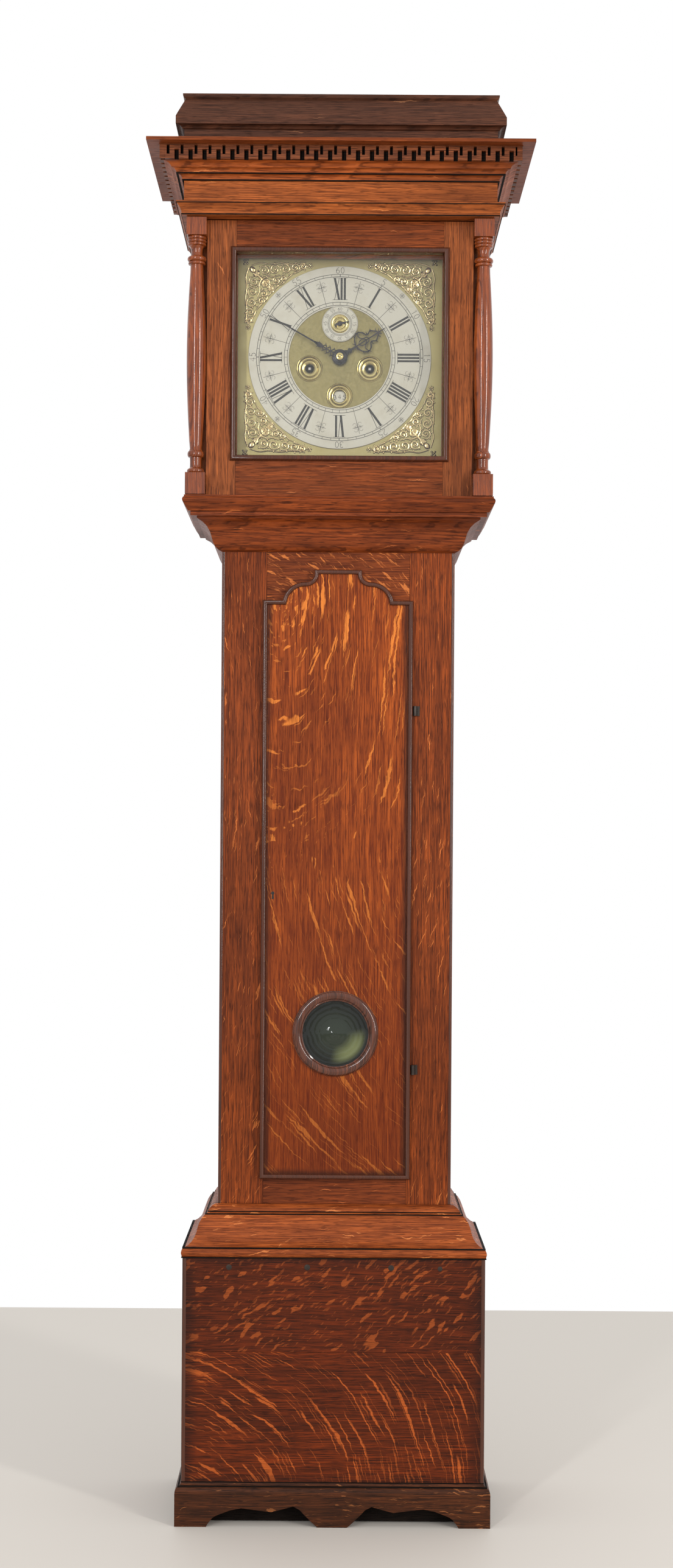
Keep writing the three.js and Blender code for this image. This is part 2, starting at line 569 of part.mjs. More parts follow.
function striking(group) {
  const dome = [...arc(0, 122, 42, 26, 0, 84, 7), [0, 148]];
  const hollow = [[0, 145], ...arc(0, 122, 39.5, 23, 84, 0, 7)];
  const shell = turnedUpright([...hollow, ...dome], 28).translate(BELL_X, BELL_Y, 0);
  const stand = box(BELL_X - 5, BELL_X + 5, PLATE_BACK + GAP, PLATE_BACK + 3.3, 60, 162);
  const bridge = box(BELL_X - 5, BELL_X + 5, BELL_Y - 5, PLATE_BACK + 3.3, 159, 162);
  const screw = post(3, 146, 161).translate(BELL_X, BELL_Y, 0);
  add(group, 'bell', join(shell, screw, bridge, stand), brass);

  const reach = 25.5;
  const arm = panel([[-3, -3], [3, -3], [reach + 2, 45], [reach - 3, 45]], 34, 38);
  const head = turnedUpright([[0, 40], [5, 43], [5, 53], [0, 56]], 12).translate(reach, BELL_Y, 0);
  const hammer = join(arm, head, rod(2, PLATE_FRONT + PLATE + GAP, PLATE_BACK - PLATE - GAP));
  add(group, 'bell_hammer', hammer.translate(HAMMER_X, 0, HAMMER_Z), iron);
}

function seatboard() {
  const board = box(-TRUNK_HALF, TRUNK_HALF, -10, 80, SEATBOARD_BOTTOM, SEATBOARD_BOTTOM + SEATBOARD);
  const slot = box(62, 77, WEIGHT_Y - 22, WEIGHT_Y + 22, SEATBOARD_BOTTOM - 1, DIAL_Z);
  return cut(board, slot, mirrorX(slot));
}

// ---------------------------------------------------------------- pendulum and weights
function pendulum(group) {
  const spring = box(-4, 4, -0.4, 0.4, -22, 4.9);
  const stem = post(2.5, -PENDULUM_LENGTH + BOB_R + 1.5, -20);
  add(group, 'pendulum_rod', join(spring, stem), iron);
  const lens = turnedAcross([[0, -14], [20, -12.2], [38, -8], [52, -2], [BOB_R, -1], [BOB_R, 1],
    [52, 2], [38, 8], [20, 12.2], [0, 14]], 36);
  const thread = post(2, -BOB_R - 30, -BOB_R + 4);
  const nut = post(9, -BOB_R - 22, -BOB_R - 14);
  add(group, 'pendulum_bob', join(lens, thread, nut).translate(0, 0, -PENDULUM_LENGTH), brass);
}

/** A driving weight with its pulley in a stirrup. */
function weight(side) {
  const body = turnedUpright([[0, WEIGHT_BOTTOM], [WEIGHT_R - 2, WEIGHT_BOTTOM],
    [WEIGHT_R, WEIGHT_BOTTOM + 3], [WEIGHT_R, WEIGHT_TOP - 6], [WEIGHT_R - 4, WEIGHT_TOP],
    [4, WEIGHT_TOP + 2], [4, PULLEY_Z - 30], [0, PULLEY_Z - 30]], 24);
  const bridge = box(-6, 6, -8, 8, PULLEY_Z - 34, PULLEY_Z - 24);
  const cheek = (y) => box(-6, 6, y, y + 2.5, PULLEY_Z - 30, PULLEY_Z + 8);
  const sheave = join(rod(PULLEY_R, -4, 4, 28), rod(2.5, -7, 7)).translate(0, 0, PULLEY_Z);
  return join(body, bridge, cheek(-8), cheek(5.5), sheave).translate(side * WEIGHT_X, WEIGHT_Y, 0);
}

/** The gut line under one pulley, from the seatboard down and up again. */
function line(side) {
  const run = new THREE.CurvePath();
  const top = SEATBOARD_BOTTOM - 0.6;
  const at = (x, z) => new THREE.Vector3(side * WEIGHT_X + x, WEIGHT_Y, z);
  const loop = arc(0, PULLEY_Z, LINE_LOOP_R, LINE_LOOP_R, 180, 360, 10).map(([x, z]) => at(x, z));
  const points = [at(-LINE_LOOP_R, top), ...loop, at(LINE_LOOP_R, top)];
  points.slice(1).forEach((p, i) => run.add(new THREE.LineCurve3(points[i], p)));
  const section = new THREE.Shape(arc(0, 0, LINE_R, LINE_R, 0, 315, 7)
    .map(([x, y]) => new THREE.Vector2(x, y)));
  run.getPointAt = run.getPoint = (t) => pointOn(points, t);
  return new THREE.ExtrudeGeometry(section, { steps: points.length - 1, extrudePath: run });
}

/** The point at parameter t where each stretch between points takes an equal share. */
function pointOn(points, t) {
  const place = t * (points.length - 1);
  const i = Math.min(Math.floor(place + 1e-9), points.length - 2);
  return points[i].clone().lerp(points[i + 1], place - i);
}

// ---------------------------------------------------------------- the clock
const carcase = assembly();
base(carcase);
add(carcase, 'shoulder_moulding', shoulderMoulding(), oakDark);
trunk(carcase);
add(carcase, 'backboard', backboard(), oakPale);
add(carcase, 'throat_moulding', throatMoulding(), oakDark);
add(carcase, 'seatboard', seatboard(), oakPale);
add(carcase, 'trunk_hinge_upper', trunkHinge(1170), iron);
add(carcase, 'trunk_hinge_lower', trunkHinge(649), iron);
trunkDoor(assembly());
const hoodGroup = assembly();
hood(hoodGroup);
hoodDoor(hoodGroup);
const movement = assembly(0, 0, DIAL_Z);
dial(movement);
hands(movement);
plates(movement);
trains(movement);
striking(movement);
pendulum(assembly(0, PENDULUM_Y, DIAL_Z + ANCHOR_Z));
const driving = assembly();
add(driving, 'going_weight', weight(1), iron);
add(driving, 'strike_weight', weight(-1), iron);
add(driving, 'going_line', line(1), gut);
add(driving, 'strike_line', line(-1), gut);

export default clock;
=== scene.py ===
"""The looks of the longcase clock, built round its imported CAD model.

Helpers take millimetres in the row frame; everything in Blender is in metres.
"""

import random
from math import asin, atan2, cos, degrees, exp, pi, radians, sin

import bpy
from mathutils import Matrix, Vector


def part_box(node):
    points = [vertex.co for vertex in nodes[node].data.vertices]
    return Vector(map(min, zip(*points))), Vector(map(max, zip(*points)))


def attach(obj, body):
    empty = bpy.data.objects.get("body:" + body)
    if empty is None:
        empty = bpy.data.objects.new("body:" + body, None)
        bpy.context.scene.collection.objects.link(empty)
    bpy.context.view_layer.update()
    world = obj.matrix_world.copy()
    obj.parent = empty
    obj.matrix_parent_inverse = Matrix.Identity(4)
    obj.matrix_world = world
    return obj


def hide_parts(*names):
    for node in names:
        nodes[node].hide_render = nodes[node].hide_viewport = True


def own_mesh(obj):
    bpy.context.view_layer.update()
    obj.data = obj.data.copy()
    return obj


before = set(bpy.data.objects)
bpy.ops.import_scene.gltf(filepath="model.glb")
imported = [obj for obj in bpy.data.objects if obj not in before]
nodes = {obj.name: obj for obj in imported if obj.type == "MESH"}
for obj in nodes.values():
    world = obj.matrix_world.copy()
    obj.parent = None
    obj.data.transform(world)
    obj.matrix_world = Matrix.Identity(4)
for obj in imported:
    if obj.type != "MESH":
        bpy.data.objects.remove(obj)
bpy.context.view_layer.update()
MM = 0.001
M = {}


def span(node):
    """A CAD node's lowest and highest corner, in millimetres."""
    lo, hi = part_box(node)
    return lo / MM, hi / MM


# ---------------- sizes read from the frame
TRUNK_LO, TRUNK_HI = span("trunk_stile_right")
FRONT = TRUNK_LO.y
TRUNK_HALF = TRUNK_HI.x
BACK = span("backboard")[1].y
DIAL_LO, DIAL_HI = span("dial_plate")
DIAL_Z = (DIAL_LO.z + DIAL_HI.z) / 2
RING_LO, RING_HI = span("chapter_ring")
LENTICLE_LO, LENTICLE_HI = span("lenticle_ring")
LENTICLE_Z = (LENTICLE_LO.z + LENTICLE_HI.z) / 2
DOOR_LO, DOOR_HI = span("trunk_door_board")
DOOR_FACE = DOOR_LO.y
DOOR_LIP = 7.0
DOOR_HALF = DOOR_HI.x - DOOR_LIP
DOOR_CREST = DOOR_HI.z - DOOR_LIP
DOOR_BOTTOM = DOOR_LO.z + DOOR_LIP
HOOD_DOOR_FACE = span("hood_door_top_rail")[0].y
GLASS_HALF = span("hood_door_stile_right")[0].x
GLASS_BOTTOM = span("hood_door_bottom_rail")[1].z
GLASS_TOP = span("hood_door_top_rail")[0].z
COLUMN_LO, COLUMN_HI = span("hood_column_right")
BASE_LO, BASE_HI = span("base_front_upper_board")
SECONDS_Z = 1732.0
WINDING_X = 43.7
WINDING_Z = 1667.2
DATE_WINDOW_Z = 1627.0


# ---------------- mesh helpers
def linked(name, data):
    obj = bpy.data.objects.new(name, data)
    bpy.context.scene.collection.objects.link(obj)
    return obj


def mesh_object(name, part, material, smooth=True):
    """A mesh object. part is its points, in millimetres, and its faces."""
    points, faces = part
    mesh = bpy.data.meshes.new(name)
    mesh.from_pydata([tuple(c * MM for c in p) for p in points], [], faces)
    mesh.validate()
    mesh.update()
    mesh.materials.append(M[material])
    if smooth:
        mesh.shade_smooth()
        mesh.set_sharp_from_angle(angle=radians(38))
    return linked(name, mesh)


def piece(name, part, material, body, slot, *replaced, smooth=True):
    """A piece that rides on a body. replaced are the CAD nodes that it stands in for."""
    obj = mesh_object(name, part, material, smooth)
    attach(obj, body)
    if replaced:
        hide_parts(*replaced)
    return obj


def soften(obj, width, segments=2, limit=None):
    """Bevels the edges of an object that are sharper than the limit, in degrees."""
    soft = obj.modifiers.new("worn_edges", "BEVEL")
    soft.width = width * MM
    soft.segments = segments
    if limit:
        soft.angle_limit = radians(limit)
    return soft


def loft(rings, ends="capped"):
    """Joins rings of points in turn. ends is "capped", "open" or, to join the last to the first, "closed"."""
    n, m = len(rings), len(rings[0])
    points = [p for ring in rings for p in ring]
    faces = []
    for i in range(n if ends == "closed" else n - 1):
        a, b = i * m, (i + 1) % n * m
        faces += [(a + k, a + (k + 1) % m, b + (k + 1) % m, b + k) for k in range(m)]
    if ends == "capped":
        faces += [tuple(range(m))[::-1], tuple(range((n - 1) * m, n * m))]
    return points, faces


def circle(r, h, centre, axis, segments):
    cx, cy, cz = centre
    turns = [2 * pi * i / segments for i in range(segments)]
    if axis == "Z":
        return [(cx + r * cos(a), cy + r * sin(a), h) for a in turns]
    return [(cx + r * cos(a), h, cz - r * sin(a)) for a in turns]


def turned(profile, centre, axis="Z", segments=96):
    """A turned solid. profile is [radius, height] pairs, on the axis at both ends."""
    points, faces = loft([circle(r, h, centre, axis, segments) for r, h in profile[1:-1]], "open")
    points += [circle(0, h, centre, axis, 1)[0] for h in (profile[0][1], profile[-1][1])]
    low, high = len(points) - 2, len(points) - 1
    last = low - segments
    for i in range(segments):
        j = (i + 1) % segments
        faces += [(low, j, i), (last + i, last + j, high)]
    return points, faces


def turned_ring(profile, centre, axis="Y", segments=128):
    """A turned solid with a hole: its profile closes on itself."""
    return loft([circle(r, h, centre, axis, segments) for r, h in profile], "closed")


def merged(*parts):
    points, faces = [], []
    for p, f in parts:
        base = len(points)
        points += list(p)
        faces += [[i + base for i in face] for face in f]
    return points, faces


def mirrored(part):
    points, faces = part
    return [(-x, y, z) for x, y, z in points], [list(f)[::-1] for f in faces]


def prism(outline, y_front, y_back):
    """A plate facing the front, from a simple outline in x and z, anticlockwise."""
    return loft([[(x, y, z) for x, z in reversed(outline)] for y in (y_front, y_back)])


def block(x0, x1, y0, y1, z0, z1):
    return prism([(x0, z0), (x1, z0), (x1, z1), (x0, z1)], y0, y1)


def moulded(path, section):
    """A mitred moulding round a closed path in x and z. section is [offset outwards, y] pairs."""
    rings = []
    for i in range(len(path)):
        a, b, c = (Vector(path[(i + k) % len(path)]) for k in (-1, 0, 1))
        d0, d1 = (b - a).normalized(), (c - b).normalized()
        n0, n1 = Vector((d0.y, -d0.x)), Vector((d1.y, -d1.x))
        mitre = (n0 + n1) / max(0.3, 1 + n0.dot(n1))
        rings.append([(b.x + mitre.x * o, y, b.y + mitre.y * o) for o, y in section])
    return loft(rings, "closed")


def arc(cx, cz, rx, rz, start, end, steps=10):
    angles = [radians(start + (end - start) * i / steps) for i in range(steps + 1)]
    return [(cx + rx * cos(t), cz + rz * sin(t)) for t in angles]


def bulge(r, h0, h1, depth, steps=8):
    """A half-round bead on a turned profile, standing depth out of radius r."""
    turns = [pi * i / steps for i in range(steps + 1)]
    return [(r + depth * sin(t), h0 + (h1 - h0) * (1 - cos(t)) / 2) for t in turns]


# ---------------- materials
class Graph:
    """A short way to write a shader's nodes."""

    def __init__(self, name):
        self.material = M[name] = bpy.data.materials.new(name)
        self.material.use_nodes = True
        self.tree = self.material.node_tree
        self.shader = self.tree.nodes["Principled BSDF"]

    def new(self, kind, inputs=None, **settings):
        node = self.tree.nodes.new(kind)
        for key, value in settings.items():
            setattr(node, key, value)
        for key, value in (inputs or {}).items():
            self.feed(node.inputs[key], value)
        return node

    def feed(self, socket, value):
        if isinstance(value, bpy.types.NodeSocket):
            self.tree.links.new(value, socket)
        elif value is not None:
            socket.default_value = value

    def math(self, operation, a, b=0.0):
        return self.new("ShaderNodeMath", {0: a, 1: b}, operation=operation).outputs[0]

    def add(self, a, b):
        return self.math("ADD", a, b)

    def sub(self, a, b):
        return self.math("SUBTRACT", a, b)

    def mul(self, a, b):
        return self.math("MULTIPLY", a, b)

    def div(self, a, b):
        return self.math("DIVIDE", a, b)

    def length(self, a, b):
        return self.math("SQRT", self.add(self.mul(a, a), self.mul(b, b)))

    def bump(self, height, strength, distance):
        return self.new("ShaderNodeBump", {"Strength": strength, "Distance": distance,
                                           "Height": height}).outputs[0]

    def ramp(self, value, low, high, to_low=0.0, to_high=1.0):
        node = self.new("ShaderNodeMapRange", {"Value": value, "From Min": low, "From Max": high,
                                               "To Min": to_low, "To Max": to_high})
        node.interpolation_type = "SMOOTHSTEP"
        return node.outputs[0]

    def mix(self, factor, a, b, blend="MIX"):
        node = self.new("ShaderNodeMix", data_type="RGBA", blend_type=blend)
        self.feed(node.inputs["Factor"], factor)
        self.feed(node.inputs[6], a)
        self.feed(node.inputs[7], b)
        return node.outputs[2]

    def noise(self, vector, scale=1.0, detail=2.0, rough=0.5, distortion=0.0):
        return self.new("ShaderNodeTexNoise", {"Vector": vector, "Scale": scale, "Detail": detail,
                                               "Roughness": rough, "Distortion": distortion}).outputs["Fac"]

    def swing(self, value, amount):
        """A noise as a swing to both sides of nothing."""
        return self.mul(self.sub(value, 0.5), amount)

    def vector(self, x, y, z):
        return self.new("ShaderNodeCombineXYZ", {0: x, 1: y, 2: z}).outputs[0]

    def place(self):
        split = self.new("ShaderNodeSeparateXYZ", {0: self.new("ShaderNodeTexCoord").outputs["Object"]})
        return split.outputs[0], split.outputs[1], split.outputs[2]

    def set(self, **values):
        for key, value in values.items():
            self.feed(self.shader.inputs[key.replace("_", " ")], value)


def darker(colour, share):
    return tuple(c * share for c in colour[:3]) + (1.0,)


def rgb(r, g, b):
    """A colour given as it looks on a screen, 0 to 255."""
    def linear(c):
        c /= 255
        return c / 12.92 if c <= 0.04045 else ((c + 0.055) / 1.055) ** 2.4
    return (linear(r), linear(g), linear(b), 1.0)


def ray_flakes(g, level, z, sweep, width, length, seed, shift):
    """A field of long spots that cross the grain, sweeping round a centre.
    sweep is [x, z, squeeze in z, usual distance from the centre]."""
    cx, cz, squeeze, reach = sweep
    dx = g.sub(level, cx)
    dz = g.mul(g.sub(z, cz), squeeze)
    turn = g.mul(g.math("ARCTAN2", dz, dx), reach)
    ring = g.add(g.length(dx, dz), shift)
    return g.noise(g.vector(g.div(ring, width), g.div(turn, length), seed + cz), 1.0, 1.0)


def oak(name, mid, dark, flake, upright=True, seed=0.0, flakes=0.5, sweeps=None, meet=1.0, blotch=0.0,
        rim=None, rim_width=0.02, flake_size=(0.004, 0.05), shine=0.42, coat=0.08, shade=None, lean=0.0,
        open_grain=0.6):
    """Quartersawn oak. mid, dark and flake are its colours; upright says which way its grain runs.
    sweeps are the centres its ray flakes sweep round: the first below the height meet, the second above.
    rim is [x0, x1, z0, z1] of a board with darkened edges. shade is painted shade: the height where it is
    darkest and the height where it ends. lean tips the grain's layers back, for work seen from above."""
    g = Graph(name)
    mid, dark, flake = rgb(*mid), rgb(*dark), rgb(*flake)
    x, y, z = g.place()
    spot = g.vector(x, y, z)
    level = g.add(x, g.mul(y, 0.93))
    along, across = (z, level) if upright else (level, g.add(z, g.mul(y, lean)))

    def grain(over, fine, long, shift, detail=2.0, rough=0.5):
        """Noise drawn out along the grain. fine and long are its scales across it and along it."""
        return g.noise(g.vector(g.mul(over, fine), g.mul(along, long), seed + shift), 1.0, detail, rough)

    wavy = g.add(across, g.mul(grain(across, 9.0, 3.0, 0), 0.012))
    fibre = grain(wavy, 620.0, 16.0, 3, 3.0, 0.6)
    band = grain(wavy, 130.0, 3.2, 5, 3.0)
    tone = grain(across, 7.0, 2.4, 7, 4.0, 0.6)
    pores = g.ramp(grain(wavy, 900.0, 48.0, 9), 0.54, 0.66)

    shift = g.add(g.swing(g.noise(spot, 95.0, 3.0), 0.007), g.swing(g.noise(spot, 7.0, 1.0), 0.04))
    width, length = flake_size
    sweeps = sweeps or [(-1.6, 1.2, 1.0, 1.6) if upright else (0.0, -1.4, 1.0, 2.4)]
    large = [ray_flakes(g, level, z, sweep, width, length, seed, shift) for sweep in sweeps]
    small = [ray_flakes(g, level, z, sweep, width * 0.42, length * 0.6, seed + 30, shift) for sweep in sweeps]
    if len(sweeps) > 1:
        share = g.ramp(z, meet - 0.09, meet + 0.09)
        rest = g.sub(1.0, share)
        large, small = ([g.add(g.mul(low, rest), g.mul(high, share))] for low, high in (large, small))
    edge = g.sub(0.76 - 0.2 * flakes, g.swing(g.noise(spot, 6.0, 1.0), 0.16))
    flecks = g.ramp(large[0], edge, g.add(edge, 0.045))
    flecks = g.math("MAXIMUM", flecks, g.ramp(small[0], edge, g.add(edge, 0.06), 0.0, 0.55))

    colour = g.mix(g.ramp(fibre, 0.3, 0.7), dark, mid)
    colour = g.mix(g.ramp(band, 0.35, 0.7, 0.0, 0.5), colour, dark)
    colour = g.mix(g.ramp(tone, 0.35, 0.75, 0.0, 0.5), colour, darker(dark, 0.6))
    if flakes:
        colour = g.mix(g.mul(flecks, g.ramp(fibre, 0.2, 0.8, 0.6, 1.0)), colour, flake)
    colour = g.mix(g.mul(pores, open_grain), colour, darker(dark, 0.3))
    if shade:
        # Painted shade: darkest at the first height, fading out by the second.
        colour = g.mix(g.ramp(z, shade[0], shade[1], 0.6, 0.0), colour, darker(dark, 0.8))
    if blotch:
        worn = g.ramp(g.noise(spot, 26.0, 5.0, 0.65), 0.56, 0.72, 0.0, blotch)
        colour = g.mix(worn, colour, (0.006, 0.004, 0.003, 1.0))
    if rim:
        x0, x1, z0, z1 = rim
        inset = g.math("MINIMUM", g.math("MINIMUM", g.sub(x, x0), g.sub(x1, x)),
                       g.math("MINIMUM", g.sub(z, z0), g.sub(z1, z)))
        worn = g.ramp(g.add(inset, g.swing(tone, 0.02)), 0.0, rim_width, 0.7, 0.0)
        colour = g.mix(worn, colour, (0.008, 0.004, 0.003, 1.0))
    height = g.sub(fibre, g.mul(pores, open_grain))
    g.set(Base_Color=colour, Normal=g.bump(height, 0.05 + 0.5 * open_grain, 0.0006),
          Roughness=g.add(g.ramp(tone, 0.2, 0.8, shine - 0.05, shine + 0.12), g.mul(pores, 0.2)),
          Coat_Weight=coat, Coat_Roughness=0.08, Specular_IOR_Level=0.1)


def metal(name, colour, stain, rough=0.3, metallic=1.0, scale=60.0, bump=0.1, amount=0.6, hollows=None,
          centre=None):
    """Metal clouded with a stain. hollows is [deep y, proud y, colour]: painted shade that darkens the deep
    parts of a casting or a turning. centre is [height, radius, colour]: a round part of a plate that is
    finished another way."""
    g = Graph(name)
    x, y, z = g.place()
    spot = g.vector(x, y, z)
    cloud = g.noise(spot, scale, 5.0, 0.65)
    fine = g.noise(spot, scale * 14, 2.0)
    tint = g.mix(g.ramp(cloud, 0.38, 0.75, 0.0, amount), rgb(*colour), rgb(*stain))
    if hollows:
        # Painted shade: the deeper the surface lies, the more of the shade colour it takes.
        deep, proud, shade_colour = hollows
        tint = g.mix(g.ramp(y, proud * MM, deep * MM), tint, rgb(*shade_colour))
    if centre:
        middle, edge, finish = centre
        radius = g.length(x, g.sub(z, middle * MM))
        matt = g.mix(g.ramp(fine, 0.2, 0.8, 0.1, 0.5), rgb(*finish), tint)
        tint = g.mix(g.ramp(radius, edge * MM, (edge + 0.4) * MM), matt, tint)
    g.set(Base_Color=tint, Metallic=metallic, Normal=g.bump(fine, bump, 0.0004),
          Roughness=g.ramp(cloud, 0.3, 0.75, rough - 0.06, rough + 0.14))


def make_woods():
    half = BASE_HI.x * MM
    oak("oak_case", (160, 74, 26), (76, 30, 9), (190, 104, 48), seed=1.0, flakes=0.32,
        flake_size=(0.003, 0.045))
    oak("oak_case_level", (152, 74, 30), (84, 34, 12), (196, 112, 54), upright=False, seed=2.0, flakes=0.6,
        sweeps=[(-0.8, 0.4, 1.0, 1.2)], flake_size=(0.004, 0.03))
    # Painted shade darkens the door lower down.
    oak("oak_door", (186, 90, 30), (92, 32, 8), (216, 124, 50), seed=4.0, flakes=0.6,
        sweeps=[(0.4, 0.98, 1.0, 0.45), (-0.125, 1.34, 0.45, 0.2)], meet=0.98, flake_size=(0.006, 0.105),
        shade=(0.42, 1.42), rim=(-DOOR_HALF * MM, DOOR_HALF * MM, DOOR_BOTTOM * MM, DOOR_CREST * MM + 0.05),
        rim_width=0.01)
    oak("oak_base_low", (126, 49, 13), (54, 20, 6), (178, 86, 34), upright=False, seed=6.0, flakes=0.74,
        sweeps=[(-0.36, -0.05, 1.0, 0.45)], flake_size=(0.0056, 0.17), blotch=0.25,
        rim=(-half, half, 0.05, 0.4), rim_width=0.03)
    oak("oak_base_high", (114, 44, 13), (54, 20, 6), (146, 69, 27), upright=False, seed=8.0, flakes=0.66,
        sweeps=[(-0.9, 1.3, 1.0, 1.35)], flake_size=(0.0075, 0.027), blotch=0.25,
        rim=(-half, half, 0.0, 0.392), rim_width=0.03)
    oak("oak_hood", (172, 94, 46), (94, 46, 22), (186, 108, 60), seed=10.0, flakes=0.12)
    oak("oak_hood_level", (148, 72, 30), (80, 36, 14), (186, 108, 60), upright=False, seed=11.0, flakes=0.12)
    oak("oak_frieze", (184, 98, 44), (104, 50, 20), (198, 116, 60), upright=False, seed=12.0, flakes=0.05,
        lean=0.8)
    oak("oak_moulding", (150, 71, 30), (80, 33, 12), (180, 98, 50), upright=False, seed=13.0, flakes=0.15,
        lean=0.8)
    # A lighter copy of oak_moulding: painted light on the bed moulding under the fret; painted shade keeps
    # the top board dark.
    oak("oak_cornice", (184, 94, 42), (102, 46, 18), (198, 114, 60), upright=False, seed=23.0, flakes=0.1,
        lean=0.8, shade=(1.966, 1.96))
    # A lighter copy of oak_moulding: painted light on the shoulder, whose faces look upwards.
    oak("oak_shoulder", (178, 90, 40), (98, 42, 16), (206, 122, 66), upright=False, seed=21.0, flakes=0.3,
        lean=0.4)
    oak("oak_dark", (110, 66, 46), (58, 34, 24), (124, 82, 56), upright=False, seed=14.0, flakes=0.1,
        lean=0.8)
    oak("oak_fret", (140, 78, 46), (74, 38, 22), (140, 84, 50), upright=False, seed=20.0, flakes=0.0)
    # Near-black for painted shadow: strips and boards set where the case has only shade.
    oak("painted_shadow_black", (30, 20, 14), (14, 9, 7), (40, 28, 20), upright=False, seed=22.0, flakes=0.0,
        shine=0.7, coat=0.0)
    oak("oak_plinth", (92, 48, 24), (42, 22, 12), (140, 84, 46), upright=False, seed=15.0, flakes=0.3,
        blotch=0.5)
    oak("oak_column", (170, 84, 34), (92, 38, 14), (182, 100, 50), seed=16.0, flakes=0.1, shine=0.22,
        coat=0.8)
    oak("oak_bead", (90, 46, 28), (64, 34, 22), (106, 64, 44), seed=17.0, flakes=0.0, shine=0.2, coat=0.6,
        open_grain=0.0)
    oak("oak_ring", (108, 58, 38), (52, 26, 16), (130, 74, 46), seed=18.0, flakes=0.1, shine=0.2, coat=0.8,
        open_grain=0.3)
    oak("oak_back", (142, 104, 72), (98, 68, 46), (160, 122, 86), seed=19.0, flakes=0.2, shine=0.6)


def make_metals():
    metal("brass_plate", (160, 148, 100), (130, 118, 70), 0.34, 0.85, scale=22.0,
          centre=(DIAL_Z, 73.5, (116, 106, 64)))
    # Painted shade in the spandrels' hollows.
    metal("cast_brass", (206, 186, 138), (168, 140, 86), 0.2, scale=160.0,
          hollows=(-38.0, -39.5, (50, 38, 18)))
    metal("turned_brass", (200, 182, 118), (150, 130, 70), 0.22, scale=40.0)
    # Painted shade in the grooves of the turned rings.
    metal("turned_dial_brass", (206, 192, 134), (168, 150, 92), 0.2, scale=40.0,
          hollows=(-37.4, -38.9, (104, 88, 44)))
    metal("silvered_brass", (172, 168, 154), (150, 144, 124), 0.4, 0.5, 26.0, 0.06, 0.5)
    # Black wax in the engraving; on the keyhole it is painted shade.
    metal("black_wax_and_keyhole_shade", (20, 18, 17), (44, 38, 32), 0.7, 0.0, 200.0)
    metal("blued_steel", (34, 32, 36), (70, 60, 62), 0.3, 0.85, 60.0)
    metal("dark_iron", (58, 52, 48), (42, 30, 24), 0.5, 0.8, 45.0, 0.4)
    metal("bright_steel", (176, 172, 166), (120, 110, 98), 0.3, 1.0, 70.0)


def gut_material():
    g = Graph("gut_line")
    x, y, z = g.place()
    twist = g.new("ShaderNodeTexWave", {"Vector": g.vector(g.add(x, y), z, 0.0), "Scale": 420.0},
                  bands_direction="DIAGONAL").outputs["Fac"]
    tint = g.mix(twist, rgb(150, 124, 78), rgb(196, 172, 120))
    g.set(Base_Color=tint, Roughness=0.7, Normal=g.bump(twist, 0.5, 0.0003))


def glass_material():
    """Thin old glass: nearly clear, with a slight ripple in what it reflects."""
    g = Graph("window_glass")
    ripple = g.noise(g.vector(*g.place()), 14.0, 1.0)
    g.material.blend_method = "BLEND"
    g.set(Base_Color=(0.95, 0.98, 0.97, 1.0), Roughness=0.03, Alpha=0.03, Normal=g.bump(ripple, 0.12, 0.002),
          Specular_IOR_Level=0.6)


def bullseye_material():
    """Thick dark green crown glass, with the rings of its spinning and a painted reflection: a pale crescent
    on its lower right.
    """
    g = Graph("bullseye_glass")
    x, y, z = g.place()
    dz = g.sub(z, LENTICLE_Z * MM)
    radius = g.length(x, dz)
    wobble = g.noise(g.vector(x, y, z), 40.0, 2.0)
    rings = g.math("SINE", g.mul(g.add(radius, g.mul(wobble, 0.004)), 900.0))
    tint = g.mix(g.ramp(radius, 0.01, 0.048), rgb(36, 43, 33), rgb(12, 16, 13))
    # Painted reflection: a pale crescent on the lower right of the glass.
    glint_side = g.ramp(g.div(g.sub(x, dz), g.add(radius, 0.001)), 0.7, 1.4)
    thin = g.mul(glint_side, g.mul(g.ramp(radius, 0.014, 0.034), g.ramp(radius, 0.047, 0.036)))
    tint = g.mix(g.mul(thin, 0.75), tint, rgb(116, 122, 80))
    g.set(Base_Color=tint, Roughness=0.04, Normal=g.bump(rings, 0.3, 0.0008), Alpha=0.95,
          Specular_IOR_Level=0.45)


make_woods()
make_metals()
gut_material()
glass_material()
bullseye_material()


# ---------------- the CAD nodes' finishes
def dress(material, slot, *names, bevel=0.8):
    """Gives CAD nodes their material and softens their sharp edges."""
    for name in names:
        obj = nodes[name]
        obj.data.materials.clear()
        obj.data.materials.append(M[material])
        obj.data.shade_flat()
        if bevel:
            soft = soften(obj, bevel, limit=50)
            soft.limit_method = "ANGLE"
            soft.use_clamp_overlap = True


